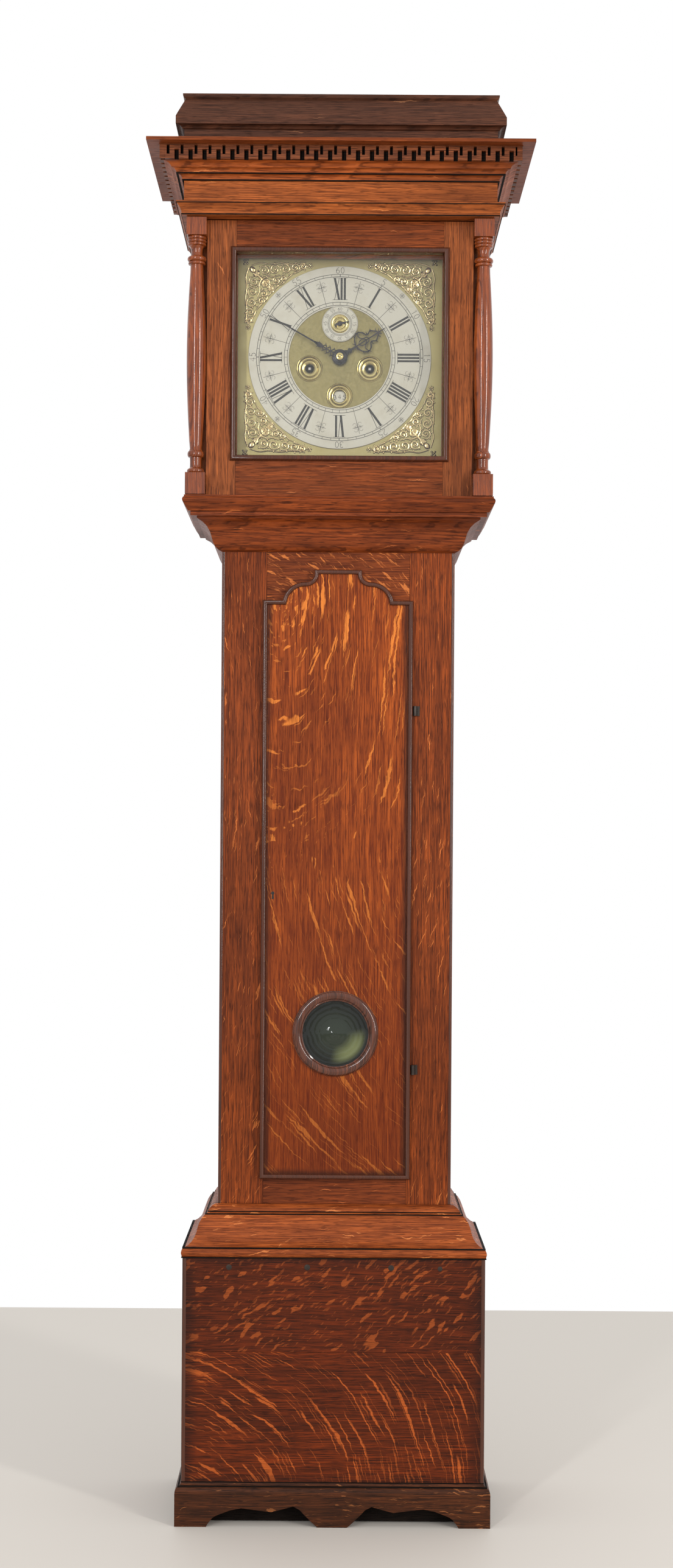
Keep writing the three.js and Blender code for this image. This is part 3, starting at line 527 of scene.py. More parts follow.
def dress_frame():
    dress("oak_plinth", "oak_dark", "plinth")
    dress("oak_base_low", "oak_case", "base_front_lower_board", bevel=0.3)
    dress("oak_base_high", "oak_case", "base_front_upper_board", bevel=0.3)
    dress("oak_case", "oak_case", "base_side_left", "base_side_right", "trunk_stile_left",
          "trunk_stile_right", "trunk_side_left", "trunk_side_right", bevel=0.5)
    dress("oak_case_level", "oak_case", "trunk_top_rail", bevel=0.3)
    dress("oak_moulding", "oak_case", "trunk_bottom_rail", bevel=0.3)
    dress("oak_shoulder", "oak_dark", "shoulder_moulding", bevel=0.6)
    dress("oak_moulding", "oak_dark", "throat_moulding", bevel=0.6)
    dress("oak_moulding", "oak_case", "hood_base_moulding", bevel=0.6)
    dress("oak_back", "oak_back", "backboard", "seatboard")
    dress("dark_iron", "iron", "trunk_hinge_upper", "trunk_hinge_lower", "trunk_door_lock_bolt",
          "bell_hammer", "going_weight", "strike_weight", "pendulum_rod", bevel=0.4)
    dress("oak_door", "oak_door", "trunk_door_board", bevel=0.6)
    dress("oak_frieze", "oak_case", "hood_frieze", bevel=0.6)
    dress("oak_cornice", "oak_dark", "hood_cornice", bevel=0.6)
    dress("oak_dark", "oak_dark", "hood_caddy", bevel=0.6)
    dress("oak_hood", "oak_case", "hood_side_left", "hood_side_right", "hood_door_stile_left",
          "hood_door_stile_right", bevel=0.5)
    dress("oak_hood_level", "oak_case", "hood_door_top_rail", "hood_door_bottom_rail", bevel=0.5)
    dress("window_glass", "clear_glass", "hood_door_glass", bevel=0)
    dress("brass_plate", "brass", "dial_plate", "movement_front_plate", "movement_back_plate", bevel=0.3)
    dress("turned_brass", "brass", "going_barrel", "strike_barrel", "centre_wheel", "escape_wheel", "bell",
          "pendulum_bob", bevel=0)
    dress("silvered_brass", "silvered", "chapter_ring", "seconds_ring", "date_disc", bevel=0)
    dress("blued_steel", "blued_steel", "pallet_anchor", "hour_hand", "minute_hand", "seconds_hand",
          bevel=0.2)
    dress("gut_line", "gut", "going_line", "strike_line", bevel=0)
    for name in ("going_line", "strike_line"):
        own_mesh(nodes[name])


# ---------------- case details
def door_outline(out, steps=14):
    """The trunk door's outline, moved out by a distance, anticlockwise from its lower left corner."""
    scoop_x, scoop_r, scoop_rz = 47.7, 19.8, 18.0
    drop, round_r, round_rz = 44.6, 26.8, 26.6
    start = degrees(asin(out / (round_rz + out)))
    right = [(DOOR_HALF + out, DOOR_BOTTOM - out), (DOOR_HALF + out, DOOR_CREST - drop + out)]
    right += arc(scoop_x, DOOR_CREST - drop, round_r + out, round_rz + out, start, 90, steps)
    right += arc(scoop_x, DOOR_CREST, scoop_r - out, scoop_rz - out, 270, 180, steps)
    if out > 0:
        right.append((scoop_x - scoop_r + out, DOOR_CREST + out))
    return right + [(-x, z) for x, z in reversed(right)]


def door_bead():
    """The bead on the trunk door's lip."""
    section = [(-3.6, DOOR_FACE + 0.6), (-3.2, DOOR_FACE - 1.2)]
    turns = [pi * (8 - i) / 8 for i in range(1, 9)]
    section += [(3.2 * cos(t), DOOR_FACE - 1.2 - 3.0 * sin(t)) for t in turns]
    section += [(3.4, DOOR_FACE + 0.6)]
    part = moulded(door_outline(3.5), section)
    piece("trunk_door_bead", part, "oak_bead", "trunk_door", "oak_door")


def glazing_lip():
    """The moulded lip round the hood door's glass."""
    path = [(GLASS_HALF, GLASS_BOTTOM), (GLASS_HALF, GLASS_TOP), (-GLASS_HALF, GLASS_TOP),
            (-GLASS_HALF, GLASS_BOTTOM)]
    face = HOOD_DOOR_FACE
    section = [(0.0, face + 10), (0.0, face - 2.5)]
    section += [(3.6 - 3.6 * cos(t), face - 2.5 - 3.2 * sin(t)) for t in (pi * i / 8 for i in range(1, 8))]
    section += [(7.2, face - 2.5), (8.2, face - 1.0), (8.2, face + 0.4), (0.6, face + 0.4)]
    part = moulded(path, section)
    piece("hood_door_lip", part, "oak_bead", "hood_door", "oak_case")


def hood_columns():
    lo, hi = COLUMN_LO, COLUMN_HI
    x, y = (lo.x + hi.x) / 2, (lo.y + hi.y) / 2
    bottom, top = 1506.3, 1846.2
    profile = [(0, bottom - 1), (10.8, bottom - 1)] + bulge(10.4, bottom + 0.3, 1513, 2.1) + [(9.4, 1513.8)]
    profile += [(8.2 + 0.9 * (i / 5 - 0.5) ** 2, 1515 + 2.8 * i) for i in range(6)]
    profile += bulge(9.6, 1529.6, 1538.6, 2.2) + [(9.4, 1539.6), (8.5, 1541.8)]
    profile += [(8.8 + 5.1 * sin(pi * i / 24), 1541.8 + 263.6 * i / 24) for i in range(1, 24)]
    profile += [(9.1, 1805.2)] + bulge(10.6, 1805.6, 1810.0, 1.8) + bulge(10.4, 1810.2, 1817.6, 3.2)
    profile += [(8.6, 1818.6), (8.1, 1822.0), (8.1, 1826.0), (8.8, 1829.0), (10.4, 1832.0)]
    profile += bulge(11.8, 1832.6, 1836.6, 1.4, 6) + bulge(12.2, 1837.0, 1841.4, 1.6, 6)
    profile += bulge(12.2, 1841.6, top, 1.6, 6) + [(0, top + 1)]
    shaft = turned(profile, (x, y, 0), "Z", 64)
    foot = block(lo.x, hi.x, lo.y, hi.y, lo.z, bottom)
    head = block(lo.x, hi.x, lo.y, hi.y, top, hi.z)
    column = merged(shaft, foot, head)
    for side, part in (("right", column), ("left", mirrored(column))):
        obj = piece(f"hood_turned_column_{side}", part, "oak_column", "hood_door", "oak_case",
                    f"hood_column_{side}")
        soften(obj, 1.2, limit=60)


def fret_outline(length, period, low, high):
    """One run of key fret: a band cut by slots from above and below in turn."""
    slot_up, slot_down, reach, inset = 4.2, 6.2, 13.5, 1.2
    count = round(length / period)
    step = length / count
    top, bottom = [], []
    for i in range(count):
        a = (i + 0.5) * step
        b = i * step + inset
        top += [(a, high), (a, high - reach), (a + slot_up, high - reach), (a + slot_up, high)]
        bottom += [(b, low), (b, low + reach), (b + slot_down, low + reach), (b + slot_down, low)]
    return [(0, low)] + bottom + [(length, low), (length, high)] + top[::-1] + [(0, high)]


def moulded_run(section, end):
    """A moulding round the front and both returns of the hood. section is [out from the trunk, z] pairs."""
    rings = []
    for side, y in ((-1, end), (-1, None), (1, None), (1, end)):
        ring = [(side * (TRUNK_HALF + o), FRONT - o if y is None else y, z) for o, z in section]
        rings.append(ring[::-1])
    return loft(rings)


def key_fret():
    """The key-pattern band under the cornice, on the front and both returns, and a black ground that paints
    the shadow in its slots.
    """
    hi = span("hood_cornice")[1]
    ground, out, dark = 80.5, 87.8, 81.2
    low, high, period = 1943.3, 1963.2, 19.7
    half = TRUNK_HALF + out
    y_ground, y_out = FRONT - ground, FRONT - out
    front = prism([(x - half, z) for x, z in fret_outline(2 * half, period, low, high)], y_out, y_ground)
    points, faces = prism(fret_outline(hi.y - y_out - 0.2, period, low, high), 0, out - ground)
    right = [(half - y, y_out + 0.1 + x, z) for x, y, z in points], faces
    cap = block(-half - 1, half + 1, y_out - 1, y_ground, high - 0.6, hi.z - 5.0)
    part = merged(front, right, mirrored(right), cap)
    piece("cornice_key_fret", part, "oak_fret", "hood", "oak_dark", smooth=False)
    # The black ground is painted shadow in the fret's slots.
    behind = moulded_run([(dark, low), (dark, high), (ground - 0.5, high), (ground - 0.5, low)], hi.y - 0.2)
    piece("cornice_fret_ground", behind, "painted_shadow_black", "hood", "oak_dark", smooth=False)


def quirks(name, rows, depth, end, body, *more):
    """Black strips of painted shade in the narrow grooves between mouldings. rows are [out from the trunk,
    height, width] of each.
    """
    runs = [moulded_run([(out, z - wide / 2), (out, z + wide / 2), (out - depth, z + wide / 2),
                         (out - depth, z - wide / 2)], end) for out, z, wide in rows]
    piece(name, merged(*runs, *more), "painted_shadow_black", body, "oak_dark", smooth=False)


def head_quirks():
    """Painted shade in the quirks of the hood's head and its base moulding."""
    rows = [(55.9, 1892.1, 1.8), (57.9, 1922.7, 1.6), (66.0, 1930.3, 1.4), (66.2, 1888.4, 1.2),
            (59.0, 1873.7, 1.6)]
    quirks("head_moulding_quirks", rows, 5, span("hood_cornice")[1].y - 0.2, "hood")


def case_quirks():
    """Painted shade in the quirks round the shoulder and the plinth, and a black rail behind the plinth's
    arches: painted shade seen through them.
    """
    rows = [(48.6, 396.4, 1.8), (49.8, 383.0, 1.6), (18.0, 440.2, 1.6), (14.4, 443.4, 1.4), (53.0, 56.6, 1.8),
            (48.2, 61.6, 1.6)]
    # A black rail behind the plinth's arches: painted shade seen through them.
    rail = moulded_run([(31, 2), (31, 40), (24, 40), (24, 2)], BACK - 30)
    quirks("case_quirks", rows, 4, BACK - 0.3, "case", rail)


def corner_beads():
    """Beads worked on the front corners of the trunk and the base."""
    parts = []
    for half, face, z0, z1, r in ((TRUNK_HALF, FRONT, 453.2, 1399.8, 2.6),
                                  (BASE_HI.x, BASE_LO.y, 62.5, BASE_HI.z, 3.4)):
        centre = (half - r * 0.75, face + r * 0.75, 0)
        bead = turned([(0, z0), (r, z0), (r, z1), (0, z1)], centre, "Z", 20)
        parts += [bead, mirrored(bead)]
    piece("corner_beads", merged(*parts), "oak_bead", "case", "oak_case")


def lenticle():
    face = DOOR_FACE
    centre = (0, 0, LENTICLE_Z)
    profile = [(47.7, face - 0.2), (47.7, face - 2.6), (49.2, face - 3.4)]
    profile += [(55.4 - 5.6 * cos(t), face - 3.2 - 3.3 * sin(t)) for t in (pi * i / 12 for i in range(13))]
    profile += [(62.0, face - 2.4), (62.0, face - 0.2)]
    part = turned_ring(profile, centre)
    piece("lenticle_turned_ring", part, "oak_ring", "trunk_door", "oak_door", "lenticle_ring")
    radii = [47.0 - i for i in range(46)]
    dome = [(0, face + 6), (49.7, face + 6), (49.7, face + 1.5)]
    dome += [(r, face + 1.5 - 3.2 * exp(-((r / 15.0) ** 2)) + 0.35 * cos(r * 0.9)) for r in radii]
    dome += [(0, face - 1.4)]
    part = turned(dome, centre, "Y", 96)
    piece("lenticle_crown_glass", part, "bullseye_glass", "trunk_door", "bullseye_glass", "lenticle_glass")


def pegs_and_keyhole():
    face = BASE_LO.y
    rng = random.Random(5)
    parts = []
    for x in (-150.0, -38.0, 82.0, 152.0):
        r = 3.4 + rng.random()
        parts.append(turned([(0, face + 1), (r, face + 1), (r, face - 0.25), (r - 1, face - 0.5),
                             (0, face - 0.5)], (x, 0, BASE_HI.z - 13 + rng.uniform(-1, 1)), "Y", 20))
    piece("base_nail_heads", merged(*parts), "dark_iron", "case", "iron")
    z = span("trunk_door_lock_bolt")[0].z + 6
    # The keyhole is a black shape on the door: painted shade for the hole.
    hole = arc(-92, z + 2.4, 2.4, 2.4, -60, 240, 14) + [(-93.6, z - 6), (-90.4, z - 6)]
    piece("keyhole", prism(hole, DOOR_FACE - 0.25, DOOR_FACE + 1), "black_wax_and_keyhole_shade", "trunk_door", "iron")


dress_frame()
door_bead()
glazing_lip()
hood_columns()
key_fret()
head_quirks()
case_quirks()
corner_beads()
lenticle()
pegs_and_keyhole()


# ---------------- dial
def crosswise(points):
    """At each point of a path in x and z, the direction square to the path."""
    sides = []
    for i in range(len(points)):
        along = (Vector(points[min(i + 1, len(points) - 1)]) - Vector(points[max(i - 1, 0)])).normalized()
        sides.append(Vector((-along.y, along.x)))
    return sides


def stroke(points, widths, face, back):
    """A thin ribbon along points in x and z, as engraving filled with wax or as cut metal."""
    rings = []
    for i, (point, side) in enumerate(zip(points, crosswise(points))):
        half = side * (widths if isinstance(widths, (int, float)) else widths[i]) / 2
        a, b = Vector(point) + half, Vector(point) - half
        rings.append([(a.x, face, a.y), (b.x, face, b.y), (b.x, back, b.y), (a.x, back, a.y)])
    return loft(rings)


def at_hour(angle, points, centre=(0.0, DIAL_Z)):
    """Turns [across, outward] points to the place at an angle, clockwise from twelve o'clock."""
    s, c = sin(radians(angle)), cos(radians(angle))
    return [(centre[0] + u * c + r * s, centre[1] - u * s + r * c) for u, r in points]


def circle_line(radius, width, face, middle, segments=192):
    """An engraved circle."""
    inner, outer = radius - width / 2, radius + width / 2
    profile = [(inner, face + 0.1), (inner, face - 0.1), (outer, face - 0.1), (outer, face + 0.1)]
    return turned_ring(profile, (middle[0], 0, middle[1]), "Y", segments)


def engraved(angle, points, width, face, middle=(0.0, DIAL_Z), proud=0.1):
    """A wax-filled line along [across, outward] points, at an angle of a ring's face."""
    return stroke(at_hour(angle, points, middle), width, face - proud, face + 0.1)


def flat_ring(inner, outer, face, back, chamfer, z, segments):
    profile = [(inner, back), (inner, face + chamfer), (inner + chamfer, face), (outer - chamfer, face),
               (outer, face + chamfer), (outer, back)]
    return turned_ring(profile, (0, 0, z), "Y", segments)


def smooth_path(points, steps=5):
    """A curve through the points."""
    pts = [Vector(p) for p in points]
    out = []
    for i in range(len(pts) - 1):
        p0, p1, p2, p3 = (pts[min(max(i + k, 0), len(pts) - 1)] for k in (-1, 0, 1, 2))
        for s in range(steps):
            t = s / steps
            out.append(tuple(0.5 * (2 * p1 + (p2 - p0) * t + (2 * p0 - 5 * p1 + 4 * p2 - p3) * t * t +
                                    (3 * p1 - p0 - 3 * p2 + p3) * t ** 3)))
    return out + [tuple(pts[-1])]


DIGITS = {
    "0": [arc(0.3, 0.5, 0.26, 0.48, 0, 360, 20)],
    "1": [[(0.12, 0.8), (0.3, 1.0), (0.3, 0.0)]],
    "2": [arc(0.3, 0.71, 0.26, 0.28, 165, -35, 12) + [(0.04, 0.0), (0.58, 0.0)]],
    "3": [arc(0.28, 0.75, 0.24, 0.24, 150, -90, 12) + arc(0.28, 0.26, 0.29, 0.26, 90, -150, 12)],
    "4": [[(0.42, 0.0), (0.42, 1.0), (0.0, 0.3), (0.6, 0.3)]],
    "5": [[(0.55, 1.0), (0.14, 1.0), (0.1, 0.57)] + arc(0.27, 0.31, 0.29, 0.31, 115, -140, 14)],
    "6": [smooth_path([(0.48, 0.98), (0.2, 0.8), (0.05, 0.5), (0.04, 0.3)]) +
          arc(0.3, 0.29, 0.26, 0.29, 180, 540, 18)],
    "7": [[(0.04, 1.0), (0.57, 1.0), (0.24, 0.0)]],
    "8": [arc(0.3, 0.76, 0.21, 0.23, -90, 270, 16), arc(0.3, 0.27, 0.26, 0.27, 90, 450, 16)],
    "9": [smooth_path([(0.12, 0.02), (0.4, 0.2), (0.55, 0.5), (0.56, 0.7)]) +
          arc(0.3, 0.71, 0.26, 0.29, 0, 360, 18)],
}


def number(text, angle, low, height, width, face, middle=(0.0, DIAL_Z)):
    """A number standing upright on its radius."""
    parts = []
    advance = 0.78 * height
    start = -advance * len(text) / 2 + 0.09 * height
    for k, digit in enumerate(text):
        for line in DIGITS[digit]:
            shape = [(start + k * advance + u * height, low + v * height) for u, v in line]
            parts.append(engraved(angle, shape, width, face, middle))
    return parts


def roman(text, angle, low, high, face):
    """A Roman numeral with thick and thin strokes between thin serif lines."""
    advances = {"I": 4.7, "V": 9.4, "X": 8.8}
    total = sum(advances[letter] for letter in text)
    u = -total / 2
    parts = []

    def line(a, b, width):
        parts.append(engraved(angle, [a, b], width, face, proud=0.12))

    for letter in text:
        step = advances[letter]
        a, b = u + 0.9, u + step - 0.9
        if letter == "I":
            line(((a + b) / 2, low), ((a + b) / 2, high), 3.0)
        elif letter == "V":
            line((a + 0.6, high), ((a + b) / 2 + 0.3, low), 3.2)
            line((b - 0.3, high), ((a + b) / 2 + 0.5, low), 0.7)
        else:
            line((a + 0.3, high), (b - 0.3, low), 3.1)
            line((b - 0.2, high), (a + 0.2, low), 0.7)
        u += step
    for level in (low, high):
        line((-total / 2 - 1.6, level), (total / 2 + 1.6, level), 0.55)
    return parts


def chapter_ring():
    inner, outer, face = 73.9, RING_HI.x, RING_LO.y
    ring = flat_ring(inner, outer, face, DIAL_LO.y - 0.02, 0.4, DIAL_Z, 256)
    piece("silvered_chapter_ring", ring, "silvered_brass", "case", "silvered", "chapter_ring")

    quarters_in, quarters_out, minutes_in, minutes_out = 76.1, 80.5, 117.4, 120.8
    radii = (minutes_out, minutes_in, quarters_out, quarters_in)
    parts = [circle_line(r, 0.7, face, (0.0, DIAL_Z)) for r in radii]
    for i in range(60):
        parts.append(engraved(i * 6, [(0, minutes_in), (0, minutes_out)], 0.5 if i % 5 else 0.9, face))
    for i in range(48):
        parts.append(engraved(i * 7.5, [(0, quarters_in), (0, quarters_out)], 0.5, face))
    hours = ["XII", "I", "II", "III", "IIII", "V", "VI", "VII", "VIII", "IX", "X", "XI"]
    for i, text in enumerate(hours):
        parts += roman(text, i * 30, 84.0, 115.6, face)
        parts += number(str(i * 5 or 60), i * 30, 122.2, 8.8, 0.6, face)
        parts += half_hour(i * 30 + 15, face)
    for angle in (45, 135, 225, 315):
        parts += half_quarter(angle, face)
    piece("chapter_ring_engraving", merged(*parts), "black_wax_and_keyhole_shade", "case", "silvered", smooth=False)


def half_quarter(angle, face):
    """The small flower engraved between two of the minute numbers."""
    mid, arm, petal = 127.0, 4.4, 1.8
    cross = [(0.0, mid - arm), (0.0, mid + arm)], [(-arm, mid), (arm, mid)]
    parts = [engraved(angle, line, [0.3, 0.5], face) for line in cross]
    for u in (-petal, petal):
        for v in (petal, -petal):
            parts.append(engraved(angle, arc(u, mid + v, 1.3, 1.3, 0, 360, 10), 0.3, face))
    return parts


def half_hour(angle, face):
    """The engraved cross between two hour numerals."""
    mid = 104.5
    upright = [(0, 80.5), (0, 97.0), (0, mid), (0, 115.0)]
    level = [(-7.8, mid), (-3.0, mid), (0, mid), (3.0, mid), (7.8, mid)]
    parts = [engraved(angle, upright, [0.45, 0.6, 1.1, 0.3], face),
             engraved(angle, level, [0.3, 1.0, 0.4, 1.0, 0.3], face)]
    for side in (-1, 1):
        start = 0 if side > 0 else 180
        for up in (-1, 1):
            hook = arc(side * 3.9, mid + up * 4.0, 2.5, 2.5, start, start + 300 * side * up, 12)
            parts.append(engraved(angle, hook, 0.35, face))
    return parts


def stepped(face, *steps):
    """A turned profile from [radius, height above the face] pairs."""
    return [(r, face + h) for r, h in steps]


def seconds_dial():
    face, back = -40.1, -37.9
    ring = flat_ring(13.6, 26.2, face, back, 0.25, SECONDS_Z, 128)
    piece("silvered_seconds_ring", ring, "silvered_brass", "case", "silvered", "seconds_ring")
    dish = stepped(face, (13.58, 2.2), (13.58, 0.1), (13.0, -0.35), (12.2, 0.1), (11.4, 0.9), (10.2, 1.1),
                   (9.2, 0.4), (8.4, -0.1), (7.5, 0.5), (6.8, 1.3), (5.4, 1.5), (4.6, 0.7), (3.9, 0.2),
                   (3.1, 0.7), (3.0, 2.2))
    piece("seconds_turned_centre", turned_ring(dish, (0, 0, SECONDS_Z)), "turned_dial_brass", "case", "brass")
    middle = (0.0, SECONDS_Z)
    ticks_in, ticks_out = 15.6, 17.6
    parts = [circle_line(r, 0.3, face, middle, 96) for r in (ticks_out, ticks_in, 25.2)]
    for i in range(60):
        parts.append(engraved(i * 6, [(0, ticks_in), (0, ticks_out)], 0.4 if i % 5 else 0.6, face, middle))
    for i in range(12):
        parts += number(str(i * 5 or 60), i * 30, 19.3, 4.3, 0.42, face, middle)
    piece("seconds_ring_engraving", merged(*parts), "black_wax_and_keyhole_shade", "case", "silvered", smooth=False)


def turned_well(name, x, z, hole):
    """A winding hole or date window, ringed with turned mouldings."""
    profile = stepped(FRONT, (19.2, 0.4), (19.2, -0.5), (18.6, -1.0), (17.9, -0.6), (17.0, -0.35),
                      (16.2, -0.9), (15.2, -1.55), (14.2, -1.2), (13.3, -0.4), (12.2, -0.3), (11.4, -1.0),
                      (10.6, -1.6), (9.8, -1.3), (hole + 0.6, -0.5), (hole, 0.1), (hole, 1.9),
                      (hole + 0.6, 1.9), (hole + 0.6, 0.4))
    piece(name, turned_ring(profile, (x, 0, z), "Y", 96), "turned_dial_brass", "case", "brass")


def winding_square(name, x, body):
    """The square end of a barrel's arbor, chamfered at its tip."""
    square = ((-1, -1), (-1, 1), (1, 1), (1, -1))
    rings = []
    for half, y in ((1.61, -36.4), (2.3, -35.6), (2.3, -26.0)):
        rings.append([(x + u * half, y, WINDING_Z + v * half) for u, v in square])
    piece(name, loft(rings), "bright_steel", body, "iron", smooth=False)


def date_numbers():
    middle = (0.0, 1593.0)
    parts = []
    for day in range(1, 32):
        height = 6.4 if day < 10 else 4.6
        parts += number(str(day), (day - 4) * 360 / 31, 34.0 - height / 2, height, 0.12 * height, -34.95,
                        middle)
    piece("date_numbers", merged(*parts), "black_wax_and_keyhole_shade", "date_work", "silvered", smooth=False)


def bead_form(centre, size, tilt=0.0, steps=8):
    """A rounded lobe of cast brass. centre is [x, y, z], size its half sizes, tilt in the dial's plane."""
    half_circle = [(cos(t), sin(t)) for t in (pi * (i / 6 - 0.5) for i in range(1, 6))]
    points, faces = turned([(0, -1), *half_circle, (0, 1)], (0, 0, 0), "Z", steps)
    s, c = sin(tilt), cos(tilt)
    placed = []
    for x, y, z in points:
        u, v, w = x * size[0], y * size[1], z * size[2]
        placed.append((centre[0] + u * c - w * s, centre[1] + v, centre[2] + u * s + w * c))
    return placed, faces


def cord(path, radii, lift, flat=1.0, sides=8):
    """A rounded bar along [x, z] points lying on the dial plate. lift is its middle's height in y."""
    turns = [-2 * pi * k / sides for k in range(sides)]
    rings = []
    for (x, z), side, r, y in zip(path, crosswise(path), radii, lift):
        rings.append([(x + side.x * cos(t) * r, y + sin(t) * r * flat, z + side.y * cos(t) * r)
                      for t in turns])
    return loft(rings)


def spandrel_leg():
    """Half a spandrel, up to its diagonal, in [along the edge from the corner, inwards] terms."""
    face = FRONT
    scrolls = [(84.0, 5.4, 4.6, 200, 1), (72.5, 7.6, 6.3, 20, -1), (58.5, 9.4, 7.6, 190, 1),
               (43.0, 10.6, 8.2, 10, -1), (56.5, 23.5, 4.6, 60, 1), (45.5, 27.0, 5.6, 240, -1),
               (28.0, 12.0, 7.4, 180, 1), (31.5, 29.0, 6.4, 45, 1), (37.5, 37.5, 3.4, 225, -1)]
    bars, lobes = [], []
    for p, q, size, start, way in scrolls:
        path, radii, lift = [], [], []
        count = 26
        for i in range(count + 1):
            t = i / count
            angle = radians(start + way * 520 * t)
            r = size * (1 - 0.78 * t)
            path.append((p + r * cos(angle), q + r * sin(angle)))
            radii.append(0.5 + 0.75 * sin(pi * min(1.0, 0.12 + t * 0.9)))
            lift.append(face - 1.3 - 1.0 * t)
        bars.append((path, radii, lift))
        lobes.append(((p, q), (1.5, 1.5, 1.5), 0.0, face - 2.2))
        for k in range(5):
            angle = radians(start + way * (40 + 62 * k))
            reach = size + 1.0
            place_at = (p + reach * cos(angle), q + reach * sin(angle))
            lobes.append((place_at, (1.9, 1.0, 0.95), angle, face - 1.2))
    edge = smooth_path([(90.0, 4.2), (78.0, 1.8), (66.0, 2.4), (52.0, 0.6), (36.0, 2.4), (22.0, 1.0),
                        (8.0, 5.0)], 6)
    bars.append((edge, [1.0] * len(edge), [face - 1.2] * len(edge)))
    inner = smooth_path([(88.0, 7.6), (78.0, 12.4), (66.0, 18.6), (55.0, 30.0), (47.0, 34.6), (40.0, 43.0)],
                        6)
    bars.append((inner, [1.0 + 0.35 * sin(i * 1.1) for i in range(len(inner))], [face - 1.2] * len(inner)))
    wing = smooth_path([(12.0, 16.0), (20.0, 20.0), (24.0, 23.5), (33.0, 20.0), (41.0, 21.0), (50.0, 18.0)],
                       6)
    bars.append((wing, [1.9 - 1.2 * i / len(wing) for i in range(len(wing))], [face - 1.9] * len(wing)))
    for k in range(6):
        angle = radians(60 * k)
        lobes.append(((94.5 + 2.6 * cos(angle), 4.8 + 2.6 * sin(angle)), (1.5, 0.9, 1.0), angle, face - 1.0))
    lobes.append(((94.5, 4.8), (1.4, 1.6, 1.4), 0.0, face - 1.6))
    return bars, lobes


def spandrels():
    face = FRONT
    bars, lobes = spandrel_leg()
    corners = {"upper_left": (-1, 1), "upper_right": (1, 1), "lower_left": (-1, -1), "lower_right": (1, -1)}
    reach = 138.0
    for name, (side, up) in corners.items():
        parts = []

        def put(p, q):
            return side * (reach - p), DIAL_Z + up * (reach - q)

        for swap in (False, True):
            for path, radii, lift in bars:
                placed = [put(q, p) if swap else put(p, q) for p, q in path]
                parts.append(cord(placed, radii, lift, 0.9))
            for (p, q), size, angle, height in lobes:
                x, z = put(q, p) if swap else put(p, q)
                across, up_by = (sin(angle), cos(angle)) if swap else (cos(angle), sin(angle))
                parts.append(bead_form((x, height, z), size, atan2(-up * up_by, -side * across)))
        for p, size in ((10.5, (5.2, 1.9, 4.2)), (16.5, (4.6, 2.3, 5.6)), (22.0, (2.6, 1.4, 2.6)),
                        (27.5, (3.6, 1.8, 2.2))):
            x, z = put(p, p)
            parts.append(bead_form((x, face - 1.0, z), size, radians(45 * side * up), 14))
        for k in range(4):
            angle = radians(45 + 90 * k)
            x, z = side * 137.0 + 2.9 * cos(angle), DIAL_Z + up * 138.4 + 2.9 * sin(angle)
            parts.append(bead_form((x, face - 0.6, z), (2.5, 0.8, 1.5), angle))
        parts.append(bead_form((side * 137.0, face - 0.8, DIAL_Z + up * 138.4), (1.4, 1.2, 1.4)))
        piece(f"cast_spandrel_{name}", merged(*parts), "cast_brass", "case", "brass", f"spandrel_{name}")


# ---------------- hands
def both_sides(angle, path, widths, face, back):
    """A strip of a hand and its mirror image."""
    return [stroke(at_hour(angle, [(side * u, r) for u, r in path]), widths, face, back) for side in (-1, 1)]


